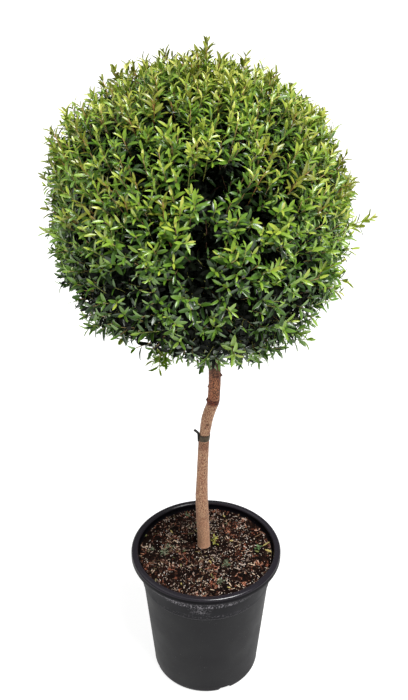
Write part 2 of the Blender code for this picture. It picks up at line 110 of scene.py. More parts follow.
def addToSoup(soup, verts, *faceSets):
    # each set is faces that count these points from nought, and their slots
    soup["verts"].append(np.asarray(verts, float).reshape(-1, 3))
    for faces, slots in faceSets:
        soup["faces"].append(np.asarray(faces) + soup["count"])
        soup["slots"].append(np.broadcast_to(slots, len(faces)))
    soup["count"] += len(soup["verts"][-1])


def ringQuads(spot):
    # quads from each ring of point numbers to the next
    low, high = spot[..., :-1, :], spot[..., 1:, :]
    return np.stack([low, high, np.roll(high, -1, -1), np.roll(low, -1, -1)], axis=-1)


def ringSoup(rings, inward=False, wrapped=False):
    # rings of points joined by quads; wrapped joins the last ring to the first, or else a face closes each end;
    # inward turns the faces over, for rings that widen
    rings = np.asarray(rings)
    spot = np.arange(rings.shape[0] * rings.shape[1]).reshape(rings.shape[:2])
    quads = ringQuads(np.concatenate([spot, spot[:1]]) if wrapped else spot).reshape(-1, 4)
    ends = [] if wrapped else [spot[:1, ::-1], spot[-1:]]
    sets = [quads[:, [0, 3, 2, 1]], *ends]
    if inward:
        sets = [quads, *(end[:, ::-1] for end in ends)]
    soup = newSoup()
    addToSoup(soup, rings, *((faces, 0) for faces in sets))
    return soup


def addObject(name, data):
    thing = bpy.data.objects.new(name, data)
    scene.collection.objects.link(thing)
    return thing


def buildPiece(name, soup, materials, smooth=True):
    verts = np.concatenate(soup["verts"])
    corners = np.concatenate([faces.ravel() for faces in soup["faces"]])
    sizes = np.concatenate([np.full(len(faces), faces.shape[1]) for faces in soup["faces"]])
    starts = np.concatenate(([0], np.cumsum(sizes)[:-1]))
    mesh = bpy.data.meshes.new(name)
    for material in materials:
        mesh.materials.append(material)
    mesh.vertices.add(len(verts))
    mesh.loops.add(len(corners))
    mesh.polygons.add(len(starts))
    for part, field, values in (
        (mesh.vertices, "co", verts.ravel()),
        (mesh.loops, "vertex_index", corners.astype(np.int32)),
        (mesh.polygons, "loop_start", starts.astype(np.int32)),
        (mesh.polygons, "material_index", np.concatenate(soup["slots"]).astype(np.int32)),
        (mesh.polygons, "use_smooth", np.full(len(starts), smooth)),
    ):
        part.foreach_set(field, values)
    mesh.update(calc_edges=True)
    mesh.validate()
    return addObject(name, mesh)


def seat(piece, slot, *nodes):
    # every piece rides on the one body; nodes are what it stands for
    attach(piece, "root")
    if nodes:
        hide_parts(*nodes)
    return piece


def addTubes(soup, paths, radii, sides, slots=0):
    # many tapering tubes at once: paths (count, rings, 3), radii (count, rings), closed at the far end
    count, rings = radii.shape
    ways = unit(np.gradient(paths, axis=1))
    chord = unit(paths[:, -1] - paths[:, 0])
    helper = np.eye(3)[np.argmin(np.abs(chord), axis=1)][:, None, :]
    across = unit(np.cross(ways, helper))
    other = np.cross(ways, across)
    turns = np.arange(sides) * tau / sides
    ring = np.cos(turns)[:, None] * across[:, :, None, :] + np.sin(turns)[:, None] * other[:, :, None, :]
    verts = paths[:, :, None, :] + radii[:, :, None, None] * ring
    spot = np.arange(count * rings * sides).reshape(count, rings, sides)
    slots = np.broadcast_to(slots, count)
    quads = ringQuads(spot).reshape(-1, 4)
    addToSoup(soup, verts, (quads, np.repeat(slots, (rings - 1) * sides)), (spot[:, -1, ::-1], slots))


def bezier(points, shares):
    first, control, last = points
    s = shares[..., None]
    return first * (1 - s) ** 2 + control * 2 * s * (1 - s) + last * s * s


def bezierWay(points, shares):
    first, control, last = points
    s = shares[..., None]
    return unit((control - first) * (1 - s) + (last - control) * s + 1e-7)


# Camera and light

view = {
    "from": (-0.004, -1.313, 1.450),
    "downDeg": 28.1,
    "fieldDeg": 45.2,  # across the height of the picture
    "world": "#ffffff",
    "worldStrength": 0.20,
    "floor": "#a6a6a5",
    "floorGlow": 0.86,
    "floorSize": 80.0,
}
lamps = {
    # wide soft lamps, far enough off to light the whole floor alike: direction, width in degrees, strength
    "key": ((0.50, -0.55, 1.50), 24.0, 3.30),
    "top": ((-0.25, 0.05, 1.00), 70.0, 0.62),
}


def setView():
    camera = bpy.data.cameras.new("camera")
    camera.sensor_fit = "VERTICAL"
    camera.sensor_height = 24.0
    camera.lens = 12.0 / math.tan(math.radians(view["fieldDeg"]) / 2)
    scene.camera = addObject("camera", camera)
    scene.camera.location = view["from"]
    scene.camera.rotation_euler.x = math.radians(90.0 - view["downDeg"])
    scene.view_settings.view_transform = "Standard"


def setLight():
    world = bpy.data.worlds.new("studio")
    scene.world = world
    world.use_nodes = True
    setNode(world.node_tree.nodes["Background"], {"Color": view["world"], "Strength": view["worldStrength"]})
    for name, (way, widthDeg, strength) in lamps.items():
        light = bpy.data.lights.new(name, "SUN")
        light.angle = math.radians(widthDeg)
        light.energy = strength
        stand = addObject(name, light)
        stand.location = Vector(way) * 2
        stand.rotation_euler = (-Vector(way)).to_track_quat("-Z", "Y").to_euler()


def setFloor():
    # opal acrylic lit from below, so that shadows on it stay faint
    table, tree, shader = startMaterial("acrylicOpalLit", view["floor"], 0.9)
    grain = addNode(tree, "TexNoise", {"Scale": 400.0, "Detail": 2.0})
    setNode(shader, {
        "Emission Color": view["world"], "Emission Strength": view["floorGlow"],
        "Normal": addNode(tree, "Bump", {"Strength": 0.02, "Height": grain}),
    })
    half = view["floorSize"] / 2
    soup = newSoup()
    addToSoup(soup, [(-half, -half, 0), (half, -half, 0), (half, half, 0), (-half, half, 0)], ([[0, 1, 2, 3]], 0))
    floor = buildPiece("floor", soup, [table], smooth=False)


setView()
setLight()
setFloor()
print("camera, light and floor set")


# Pot: black polypropylene, injection moulded, with a rolled rim and a stacking shoulder

pot = {
    "height": 0.300,
    "rimRadius": 0.1508,
    "rimInner": 0.1375,
    "rimDepth": 0.015,
    "bodyTop": 0.1355,
    "base": 0.1105,
    "wall": 0.003,
    "shoulder": 0.229,
    "shoulderStep": 0.0018,
    "foot": 0.0095,
    "bore": ((0.1322, 0.2790), (0.1362, 0.2885)),  # radius and height where the inside starts and stops widening
    "sides": 144,
    "slots": 4,
    "slotFirstDeg": -69.0,
    "slotSize": (0.030, 0.026, 0.023),
    "holes": 5,
    "holeRadius": 0.007,
    "holeCircle": 0.070,
    "black": "#101013",
    "blackWorn": "#18171a",
    "collarBlack": "#0e0d13",
    "rimBlack": "#08070b",
    # the rim's top: near black but painted paler, a painted sheen
    "rimTopBlackAndSheen": "#1f1b23",
    "dust": "#a4a0a6",
    "shine": (0.18, 0.16, 0.07, 0.60),  # of the wall, the collar, the rim's side and its top
    "rimRoughness": 0.24,
    # scuffs: lowest and highest, soft edge, middle, full and whole reach, grain it breaks at, strength
    "scuffs": (
        (0.2852, 0.2876, 0.0008, (-0.012, -0.150, 0.286), 0.045, 0.130, (0.47, 0.58), 0.60),
        (0.2612, 0.2680, 0.0016, (-0.012, -0.133, 0.264), 0.050, 0.115, (0.49, 0.60), 0.85),
        (0.2440, 0.2650, 0.0040, (-0.012, -0.134, 0.255), 0.004, 0.026, (0.50, 0.62), 0.55),
        (0.2315, 0.2400, 0.0020, (0.000, -0.130, 0.236), 0.060, 0.130, (0.54, 0.66), 0.25),
        (0.2283, 0.2298, 0.0007, (0.000, -0.130, 0.229), 0.080, 0.180, (0.36, 0.56), 0.42),
    ),
}


def arc(centre, radii, fromDeg, toDeg, steps):
    # points round an ellipse in the profile's plane
    turns = np.radians(np.linspace(fromDeg, toDeg, steps))
    return [(centre[0] + radii[0] * math.cos(a), centre[1] + radii[1] * math.sin(a)) for a in turns]


def potWall(height):
    share = height / (pot["height"] - pot["rimDepth"])
    return pot["base"] + (pot["bodyTop"] - pot["base"]) * share


def potProfile():
    top, rim, base, inner = pot["height"], pot["rimRadius"], pot["base"], pot["rimInner"]
    shoulder, foot, wall = pot["shoulder"], pot["foot"], pot["wall"]
    rimFoot = top - pot["rimDepth"]
    points = arc((rim - 0.0052, top - 0.0052), (0.0052, 0.0052), 90, 0, 9)
    points += arc((rim - 0.0030, rimFoot + 0.0022), (0.0030, 0.0022), -4, -90, 6)
    points += arc((pot["bodyTop"] + 0.0026, rimFoot - 0.0024), (0.0026, 0.0024), 90, 180, 6)
    points += [(potWall(z), z) for z in np.linspace(rimFoot - 0.006, shoulder + 0.003, 6)]
    stepRadius, low = potWall(shoulder) - pot["shoulderStep"], foot * 1.6
    points += [(potWall(shoulder) + 0.0003, shoulder + 0.0012), (potWall(shoulder) - 0.0005, shoulder)]
    points += [(stepRadius, shoulder - 0.0012)]
    for share in np.linspace(0.15, 1.0, 8):
        points.append((stepRadius + (base - stepRadius) * share, shoulder + (low - shoulder) * share))
    points += arc((base - foot * 1.2, foot * 1.3), (foot * 1.2, foot * 1.3), -8, -90, 8)
    points += [(0.04, 0.0), (0.0, 0.0), (0.0, wall), (0.06, wall)]
    points += arc((base - wall - 0.006, wall + 0.006), (0.005, 0.006), -90, 0, 4)
    points += pot["bore"]
    points += arc((inner + 0.0040, top - 0.0048), (0.0043, 0.0048), 180, 100, 9)
    return points + points[:1]


def meshFrom(bm, name):
    mesh = bpy.data.meshes.new(name)
    bm.to_mesh(mesh)
    bm.free()
    return mesh


def cutPot(piece):
    # the drain slots round the foot and the holes in the floor
    cutters = []
    for k in range(pot["slots"] + pot["holes"]):
        bm = bmesh.new()
        if k < pot["slots"]:
            bmesh.ops.create_cube(bm, size=1.0)
            bmesh.ops.scale(bm, vec=pot["slotSize"], verts=bm.verts)
            bmesh.ops.bevel(bm, geom=bm.edges[:], offset=0.0025, segments=3, affect="EDGES")
            turn = math.radians(pot["slotFirstDeg"] + 360.0 * k / pot["slots"])
            reach = pot["base"]
        else:
            radius = pot["holeRadius"]
            bmesh.ops.create_cone(bm, cap_ends=True, segments=28, radius1=radius, radius2=radius, depth=0.02)
            turn = tau * (k - pot["slots"]) / pot["holes"]
            reach = pot["holeCircle"]
        cutter = addObject("cutter", meshFrom(bm, "cutter"))
        cutter.location = (reach * math.cos(turn), reach * math.sin(turn), 0.0)
        cutter.rotation_euler.z = turn
        cut = piece.modifiers.new("cut", "BOOLEAN")
        cut.operation = "DIFFERENCE"
        cut.object = cutter
        cutters.append(cutter)
    bpy.context.view_layer.update()
    graph = bpy.context.evaluated_depsgraph_get()
    mesh = bpy.data.meshes.new_from_object(piece.evaluated_get(graph))
    piece.modifiers.clear()
    piece.data = mesh
    for cutter in cutters:
        bpy.data.objects.remove(cutter)
    mesh.shade_smooth()
    mesh.set_sharp_from_angle(angle=math.radians(38))


def mouldedPolypropylene():
    # black and waxy: dull and dusty on the wall, blue-black and glossier on the rim, where hands polish it,
    # with the rim's top painted paler as a painted sheen; scuffs show as pale scratches under the front of the rim
    # and on the collar
    material, tree, shader = startMaterial("polypropyleneMoulded", pot["black"], 0.5, ior=1.49)
    place = addNode(tree, "TexCoord", output="Object")
    height = addNode(tree, "SeparateXYZ", {"Vector": place}, "Z")
    # clouds of dust 60 mm across, specks, scratches, and the mould's etched texture, about 0.4 mm a grain
    cloud, speck, scratch, etch = (
        addNode(tree, "TexNoise", {"Scale": scale, "Detail": detail, "Roughness": rough, "Vector": place})
        for scale, detail, rough in ((16.0, 6.0, 0.6), (330.0, 3.0, 0.7), (260.0, 4.0, 0.75), (900.0, 2.0, 0.6))
    )
    top, collar = pot["height"], pot["shoulder"]
    shine, *shines = pot["shine"]
    worn = [(0.36, pot["black"]), (0.70, pot["blackWorn"])]
    colour = addNode(tree, "ValToRGB", {"stops": worn, "Fac": cloud})
    # the collar and the rim take their own blacks, and the rim's top a paler one that is a painted sheen
    for start, end, over, bright in zip(
        (collar - 0.002, top - 0.0125, top - 0.0050), (collar + 0.002, top - 0.0085, top - 0.0020),
        (pot["collarBlack"], pot["rimBlack"], pot["rimTopBlackAndSheen"]), shines,
    ):
        above = addNode(tree, "MapRange", {"From Min": start, "From Max": end, "Value": height})
        colour = addNode(tree, "Mix", {"data_type": "RGBA", 0: above, 6: colour, 7: over}, 2)
        shine = addNode(tree, "Mix", {"data_type": "FLOAT", 0: above, 2: shine, 3: bright})
    dust = addNode(tree, "MapRange", {"From Min": 0.69, "From Max": 0.75, "To Max": 0.34, "Value": speck})
    for low, high, soft, middle, full, whole, breaks, strength in pot["scuffs"]:
        away = addNode(tree, "VectorMath", {"operation": "DISTANCE", 0: place, 1: middle}, "Value")
        scuff = strength
        for value, start, end in (
            (height, low - soft, low + soft), (height, high + soft, high - soft), (away, whole, full),
            (scratch, *breaks),
        ):
            part = addNode(tree, "MapRange", {"From Min": start, "From Max": end, "Value": value})
            scuff = addNode(tree, "Math", {"operation": "MULTIPLY", 0: part, 1: scuff})
        dust = addNode(tree, "Math", {"operation": "MAXIMUM", 0: dust, 1: scuff})
    dull = {"From Min": 0.3, "From Max": 0.7, "To Min": 0.46, "To Max": 0.62, "Value": cloud}
    rough = addNode(tree, "MapRange", dull)
    rough = addNode(tree, "Mix", {"data_type": "FLOAT", 0: above, 2: rough, 3: pot["rimRoughness"]})
    setNode(shader, {
        "Base Color": addNode(tree, "Mix", {"data_type": "RGBA", 0: dust, 6: colour, 7: pot["dust"]}, 2),
        "Specular IOR Level": shine,
        "Roughness": addNode(tree, "Math", {"operation": "MAXIMUM", 0: rough, 1: dust}),
        "Normal": addNode(tree, "Bump", {"Strength": 0.12, "Distance": 0.0004, "Height": etch}),
    })
    return material


def makePot():
    bm = bmesh.new()
    spots = [bm.verts.new((r, 0.0, z)) for r, z in potProfile()]
    for pair in zip(spots, spots[1:]):
        bm.edges.new(pair)
    piece = addObject("potShell", meshFrom(bm, "potShell"))
    piece.data.materials.append(mouldedPolypropylene())
    screw = piece.modifiers.new("turn", "SCREW")
    screw.steps = screw.render_steps = pot["sides"]
    screw.use_merge_vertices = True
    screw.merge_threshold = 0.00005
    cutPot(piece)
    seat(piece, "pot_plastic", "pot")


makePot()
print("pot turned and cut")


# Potting mix: composted bark with wood fibre, crumbs, pale grit and what has fallen on it

mix = {
    "top": 0.2858,
    "edge": 0.1346,
    "sides": ((0.1310, 0.2740), (0.1060, 0.0110), (0.0990, 0.0036), (0.0600, 0.0036)),  # radius and height
    "relief": 0.0022,
    "trunk": (-0.0043, 0.0190, 0.014),  # x, y and the radius that crumbs keep clear of
    "rings": 52,
    "sectors": 150,
    # how many bits, with their middling length and its spread, or their least and greatest length
    "crumbs": (3000, 0.00125, 0.40),
    "chips": (900, 0.0023, 0.42),
    "orangeChips": (400, 0.0021, 0.34),
    "grit": (1050, 0.0005, 0.0010),
    "fallen": (26, 0.006, 0.012),
    "drift": 0.030,  # across a patch of like bits
    "seed": 21,
    # the body seen between the bits: nearly black, partly damp bark and partly painted shade
    "black": "#060201",
    "dark": "#170a06",
    "mid": "#311b13",
}
crumbColours = {
    # bark and peat crumbs from nearly black to taupe, with a little of the red-brown of fresh pine bark
    "barkCrumbBlack": ("#0b0402", 0.38),
    "barkCrumbDark": ("#1d0d08", 0.27),
    "barkCrumbBrown": ("#3f261c", 0.14),
    "barkCrumbTaupe": ("#61473b", 0.11),
    "barkCrumbRust": ("#7f4a37", 0.05),
    "peatCrumbGrey": ("#7d6b60", 0.05),
}
chipColours = {
    "barkChipBrown": ("#5d3e31", 0.20),
    "barkChipUmber": ("#7d5a48", 0.18),
    "woodChipTan": ("#e0c6ab", 0.23),
    "woodChipGrey": ("#b8a698", 0.16),
    "woodChipOlive": ("#857a58", 0.08),
    "barkChipDark": ("#170905", 0.15),
}
orangeColours = {
    # fresh-split pine bark, in drifts
    "barkChipRust": ("#824a38", 0.48),
    "barkChipOrange": ("#c28366", 0.34),
    "barkChipPink": ("#e8bda8", 0.18),
}
gritColours = {
    "pumiceGritPale": ("#e8d8c4", 0.42),
    "quartzGritWhite": ("#fdf6ee", 0.24),
    "shellGritTan": ("#b6998b", 0.34),
}
fallenColours = {
    "fallenLeafYellow": ("#b5a462", 0.30),
    "fallenLeafOlive": ("#767844", 0.20),
    "fallenLeafGreen": ("#5b6c52", 0.20),
    "fallenLeafBrown": ("#80644a", 0.30),
}
seedlings = {
    # small weeds and sprigs that grow in the mix: x, y, spread in metres, leaves, colour and how upright
    "places": (
        (0.0178, 0.021, 0.0165, 14, 0, 1.7), (0.106, 0.006, 0.013, 13, 1, 0.9), (0.027, -0.091, 0.014, 12, 2, 0.9),
        (-0.0445, -0.003, 0.008, 7, 1, 1.2), (-0.0829, -0.006, 0.017, 13, 2, 0.6),
        (-0.074, 0.011, 0.014, 10, 2, 0.6), (0.0417, -0.0412, 0.016, 11, 2, 0.7), (0.0447, 0.083, 0.01, 8, 2, 0.6),
        (-0.04, 0.112, 0.011, 6, 1, 0.6), (-0.108, 0.006, 0.01, 8, 2, 0.6), (0.04, -0.03, 0.01, 7, 2, 0.6),
    ),
    # leaves that lie where they fell: x, y, length, way in degrees and colour
    "lying": (
        (0.1235, 0.0185, 0.021, 35, 0), (0.126, -0.002, 0.018, -40, 0), (-0.104, 0.048, 0.014, 5, 0),
        (-0.016, -0.0034, 0.013, 2, 0), (0.108, 0.042, 0.018, 20, 3), (-0.04, 0.109, 0.015, -40, 2),
    ),
    "leafBreadth": 0.36,
    "colours": {"seedlingLeafSprig": "#b3b358", "seedlingLeafWeed": "#5c7a4a", "mossLeafGrey": "#6c775b"},
}


def mixHeight(x, y):
    # the mix's surface, settled into lumps 22 mm and 7 mm across
    lumps = noise.noise(Vector((x, y, 0.0)) / 0.022) * mix["relief"]
    lumps += noise.noise(Vector((x, y, 4.0)) / 0.007) * mix["relief"] * 0.75
    return mix["top"] + lumps


def makeMixBody():
    turns = tau * np.arange(mix["sectors"]) / mix["sectors"]
    rings = []
    for radius in mix["edge"] * np.arange(1, mix["rings"] + 1) / mix["rings"]:
        spots = [(radius * math.cos(turn), radius * math.sin(turn)) for turn in turns]
        rings.append([(x, y, mixHeight(x, y)) for x, y in spots])
    for radius, height in mix["sides"]:
        rings.append([(radius * math.cos(turn), radius * math.sin(turn), height) for turn in turns])
    # dull and nearly black, partly the damp bark and partly painted shade of the gaps between crumbs, browner where
    # the clods have dried
    material, tree, shader = startMaterial("compostedBarkDampAndShadedGaps", mix["dark"], 0.9, ior=1.2)
    place = addNode(tree, "TexCoord", output="Object")
    clod = addNode(tree, "TexVoronoi", {"Scale": 320.0, "Vector": place}, "Distance")  # 3 mm crumbs
    tone = addNode(tree, "TexNoise", {"Scale": 180.0, "Detail": 4.0, "Vector": place})
    stops = [(0.34, mix["black"]), (0.54, mix["dark"]), (0.72, mix["mid"])]
    setNode(shader, {
        "Base Color": addNode(tree, "ValToRGB", {"stops": stops, "Fac": tone}),
        "Normal": addNode(tree, "Bump", {"Strength": 0.9, "Distance": 0.002, "Height": clod}),
    })
    seat(buildPiece("pottingMix", ringSoup(rings, inward=True), [material]), "potting_mix", "soil")


def template(make, **settings):
    bm = bmesh.new()
    make(bm, **settings)
    bmesh.ops.triangulate(bm, faces=bm.faces)
    verts = np.array([vert.co[:] for vert in bm.verts])
    faces = np.array([[vert.index for vert in face.verts] for face in bm.faces])
    bm.free()
    return verts, faces


def turnMatrices(rng, count, tilt):
    # a turn about the upright, then a tilt of up to tilt radians about a level axis
    turn = rng.uniform(0, tau, count)
    lean = rng.uniform(-tilt, tilt, count)
    ct, st, cl, sl = np.cos(turn), np.sin(turn), np.cos(lean), np.sin(lean)
    rows = [[ct, -st * cl, st * sl], [st, ct * cl, -ct * sl], [np.zeros(count), sl, cl]]
    return np.moveaxis(np.array(rows), -1, 0)


def strewnSpots(rng, count, sink, drift=0.0):
    # clear of the pot's wall and the trunk; drift gathers the bits into patches
    trunkX, trunkY, clear = mix["trunk"]
    spots = []
    while len(spots) < count:
        radius = mix["edge"] * math.sqrt(rng.uniform())
        turn = rng.uniform(0, tau)
        x, y = radius * math.cos(turn), radius * math.sin(turn)
        if rng.uniform() < drift * (0.6 - 1.8 * noise.noise(Vector((x / mix["drift"], y / mix["drift"], drift * 7)))):
            continue
        if radius > mix["edge"] - 0.0015 or math.hypot(x - trunkX, y - trunkY) < clear:
            continue
        spots.append((x, y, mixHeight(x, y) - sink))
    return np.array(spots)


def strew(name, shape, colours, sizes, sink, tilt, seed, drift=0.0):
    # copies of a template over the mix, each with its own size, turn and colour
    rng = np.random.default_rng(mix["seed"] + seed)
    verts, faces = shape
    count = len(sizes)
    spots = strewnSpots(rng, count, sink, drift)
    bits = verts[None] * rng.uniform(0.72, 1.28, (count, len(verts), 1)) * sizes[:, None, :]
    bits = np.einsum("nij,nvj->nvi", turnMatrices(rng, count, tilt), bits) + spots[:, None, :]
    every = (faces[None] + (np.arange(count) * len(verts))[:, None, None]).reshape(-1, 3)
    slots = pickSlots(rng, colours, count)
    soup = newSoup()
    addToSoup(soup, bits, (every, np.repeat(slots, len(faces))))
    seat(buildPiece(name, soup, plainMaterials(colours, 0.85, 1.25), smooth=False), "potting_mix", "soil")


def bitLengths(rng, kind):
    count, middle, spread = mix[kind]
    return rng.lognormal(math.log(middle), spread, count)


def makeMix():
    makeMixBody()
    lump = template(bmesh.ops.create_icosphere, subdivisions=1, radius=1.0)
    # a split shard that lies along x: a five-sided bar with uneven ends
    verts, faces = template(
        bmesh.ops.create_cone, cap_ends=True, segments=5, radius1=0.85, radius2=0.45, depth=2.0
    )
    shard = verts[:, [2, 0, 1]], faces
    rng = np.random.default_rng(mix["seed"])
    size = bitLengths(rng, "crumbs")
    sizes = size[:, None] * rng.uniform(0.7, 1.4, (len(size), 3))
    strew("mixCrumbs", lump, crumbColours, sizes, -0.0004, 3.0, 1)
    length = bitLengths(rng, "chips")
    breadth = length * rng.uniform(0.16, 0.40, len(length))
    sizes = np.stack([length, breadth, breadth * 0.6], axis=-1)
    strew("barkChips", shard, chipColours, sizes, -0.0014, 0.6, 2, drift=0.9)
    length = bitLengths(rng, "orangeChips")
    sizes = np.stack([length, length * 0.34, length * 0.22], axis=-1)
    strew("orangeChips", shard, orangeColours, sizes, -0.0014, 0.6, 4, drift=2.0)
    count, least, most = mix["grit"]
    sizes = rng.uniform(least, most, count)[:, None] * rng.uniform(0.6, 1.5, (count, 3))
    strew("paleGrit", lump, gritColours, sizes, -0.0014, 3.0, 3, drift=0.7)


makeMix()
print("potting mix filled and strewn")


# Leaves: a folded blade with a keeled midrib and a blunt tip

bladeShapes = {
    # stations along the leaf, each with its share of the full half width
    "full": ((0.20, 0.70), (0.52, 1.0), (0.84, 0.68)),
    "small": ((0.34, 0.84), (0.72, 0.90)),
    "plain": ((0.55, 1.0),),
}


def bladeFaces(stations):
    last = 3 * stations - 2
    triangles = [(0, 3, 2), (0, 2, 1), (last + 1, last + 2, last + 3), (last, last + 1, last + 3)]
    quads = []
    for k in range(1, last, 3):
        quads += [(k + 1, k + 2, k + 5, k + 4), (k, k + 1, k + 4, k + 3)]
    return np.array(triangles), np.array(quads, int).reshape(-1, 4)


def addLeaves(soup, root, along, normal, length, width, fold, curl, slots, shape="full"):
    # fold lifts the edges from the midrib, and curl bends the tip back
    side = unit(np.cross(along, normal))
    normal = np.cross(side, along)
    rows = [(0.0, 0.0)]
    for share, breadth in bladeShapes[shape]:
        rows += [(share, -breadth), (share, 0.0), (share, breadth)]
    rows.append((1.0, 0.0))
    s, b = np.array(rows).T
    out = length[:, None] * s
    across = width[:, None] / 2 * b
    rise = np.abs(across) * fold[:, None] - curl[:, None] * length[:, None] * s**2
    verts = (
        root[:, None]
        + along[:, None] * out[..., None]
        + side[:, None] * across[..., None]
        + normal[:, None] * rise[..., None]
    )
    spot = (np.arange(len(root)) * len(rows))[:, None, None]
    addToSoup(soup, verts, *(
        ((faces[None] + spot).reshape(-1, faces.shape[1]), np.repeat(slots, len(faces)))
        for faces in bladeFaces(len(bladeShapes[shape])) if len(faces)
    ))


def makeFallenLeaves():
    rng = np.random.default_rng(mix["seed"] + 5)
    count, least, most = mix["fallen"]
    spots = strewnSpots(rng, count, -0.0020)
    turn = rng.uniform(0, tau, count)
    length = rng.uniform(least, most, count)
    slots = pickSlots(rng, fallenColours, count)
    laid = np.array(seedlings["lying"])
    spots = np.concatenate([spots, [(x, y, mixHeight(x, y) + 0.0030) for x, y in laid[:, :2]]])
    turn = np.concatenate([turn, np.radians(laid[:, 3])])
    length = np.concatenate([length, laid[:, 2]])
    slots = np.concatenate([slots, laid[:, 4].astype(int)])
    count = len(length)
    along = unit(np.stack([np.cos(turn), np.sin(turn), rng.uniform(-0.12, 0.22, count)], axis=-1))
    normal = unit(np.stack([rng.normal(0, 0.35, count), rng.normal(0, 0.35, count), np.ones(count)], axis=-1))
    soup = newSoup()
    addLeaves(
        soup, spots - along * length[:, None] / 2, along, normal, length, length * rng.uniform(0.26, 0.36, count),
        rng.uniform(0.1, 0.6, count), rng.uniform(-0.2, 0.2, count), slots,
    )
    seat(buildPiece("fallenLeaves", soup, plainMaterials(fallenColours, 0.6)), "leaves", "soil")


def makeSeedlings():
    rng = np.random.default_rng(mix["seed"] + 6)
    soup = newSoup()
    for x, y, spread, count, slot, rise in seedlings["places"]:
        foot = np.array((x, y, mixHeight(x, y)))
        turn = np.arange(count) * 2.4 + rng.uniform(0, tau)
        out = rng.uniform(0.0, 0.35, count) * spread
        up = rng.uniform(0.05, 0.5, count) * spread * rise
        root = foot + np.stack([np.cos(turn) * out, np.sin(turn) * out, up], axis=-1)
        along = unit(np.stack([np.cos(turn), np.sin(turn), rng.uniform(0.1, 1.3, count) * rise], axis=-1))
        normal = unit(upright - along * along[:, 2:] + rng.normal(0, 0.2, (count, 3)))
        length = spread * rng.uniform(0.28, 0.52, count)
        addLeaves(
            soup, root, along, normal, length, length * seedlings["leafBreadth"], rng.uniform(0.2, 0.5, count),
            rng.uniform(0.0, 0.3, count), np.full(count, slot),
        )
        stem = np.stack([np.broadcast_to(foot - (0, 0, 0.002), root.shape), (root + foot) / 2, root], axis=1)
        addTubes(soup, stem, np.broadcast_to((0.0005, 0.0004, 0.0003), (count, 3)), 3, slot)
    finishes = [startMaterial(name, colour, 0.5)[0] for name, colour in seedlings["colours"].items()]
    seat(buildPiece("seedlings", soup, finishes), "leaves", "soil")


makeFallenLeaves()
makeSeedlings()
print("fallen leaves and seedlings laid")


# Trunk and boughs: young myrtle bark, thin and flaking, over the frame's own stations

trunk = {
    # height, x, y and radius, from the cut at the mix to the fork's tip
    "stations": (
        (0.2868, -0.0043, 0.019, 0.0136), (0.297, -0.0044, 0.0189, 0.0126), (0.343, -0.0061, 0.0182, 0.0126),
        (0.385, -0.0078, 0.0174, 0.0125), (0.416, -0.0085, 0.0168, 0.0121), (0.444, -0.008, 0.0162, 0.0114),
        (0.5, -0.0063, 0.015, 0.0103), (0.538, -0.0047, 0.0142, 0.0104), (0.556, -0.0034, 0.0139, 0.0099),
        (0.587, 0.0004, 0.0133, 0.0107), (0.602, 0.0032, 0.0131, 0.0111), (0.617, 0.0076, 0.0129, 0.0113),
        (0.632, 0.0125, 0.0127, 0.0114), (0.66, 0.0148, 0.0124, 0.0112), (0.69, 0.0155, 0.0118, 0.011),
        (0.79, 0.011, 0.009, 0.0112), (0.88, 0.004, 0.006, 0.009), (0.98, -0.004, 0.002, 0.0068),
        (1.112, -0.01, 0, 0.0042),
    ),
    "step": 0.0020,
    "sides": 48,
    "flake": 0.00045,
    # the callus ring where an old tie bit in: height at the axis, fall to +X, half height, rise and loose end
    "ring": (0.6365, -0.10, 0.0070, 0.0004, 0.0026),
    "underTie": (0.5378, 0.0110, 0.48),  # height, half height and redness of the bark that the tie has rubbed
    # knots: azimuth, height, radius and rise
    "knots": (
        (-88, 0.5905, 0.0018, 0.0004), (-66, 0.5885, 0.0019, 0.0004), (-95, 0.5815, 0.0014, 0.0003),
        (-12, 0.6925, 0.0026, 0.004), (-60, 0.693, 0.0034, 0.001), (188, 0.668, 0.0026, 0.002),
        (196, 0.658, 0.0018, 0.001), (70, 0.64, 0.003, 0.0016), (120, 0.47, 0.0026, 0.001),
        (20, 0.395, 0.0024, 0.0008),
    ),
    "tan": "#b58767",
    "pale": "#d8b08b",
    "rust": "#a56a4e",
    "fleck": "#452d20",
    "grey": "#90705b",
    # painted light at the foot; partly tint, partly painted shade above the scar; painted shade under the crown
    "foot": "#ffc29a",
    "upperTintAndShade": "#eac4b0",
    "shade": "#42291f",
    "scar": ("#240a04", "#58200c", "#823c1e"),
    "knot": "#451709",
    "fuzz": 0.12,  # the pale edge that loose fibres and dust give
}


def trunkAt(height):
    # a smooth line through the stations: the axis and the radius at a height
    stations = trunk["stations"]
    last = len(stations) - 2
    k = next((i for i in range(last) if stations[i + 1][0] >= height), last)
    before, start, end, after = (
        np.array(stations[i]) for i in (max(k - 1, 0), k, k + 1, min(k + 2, len(stations) - 1))
    )
    span = end[0] - start[0]
    share = (height - start[0]) / span
    s2, s3 = share * share, share**3
    riseIn = (end - before) / (end[0] - before[0]) * span
    riseOut = (after - start) / (after[0] - start[0]) * span
    _, x, y, radius = (
        start * (2 * s3 - 3 * s2 + 1) + riseIn * (s3 - 2 * s2 + share) + end * (3 * s2 - 2 * s3) + riseOut * (s3 - s2)
    )
    return np.array((x, y, height)), radius


def noiseAt(x, y, z, across, along):
    return noise.noise(Vector((x / across, y / across, z / along)))


def barkRelief(x, y, z, depth):
    # flakes two or three millimetres across, a finer crackle over them, and a slow swell
    plates = noiseAt(x, y, z, 0.0026, 0.0042)
    return depth * (
        0.8 * max(plates, -0.25) + 0.4 * noiseAt(x, y, z, 0.0011, 0.0016) + 0.9 * noiseAt(x, y, z, 0.02, 0.030)
    )


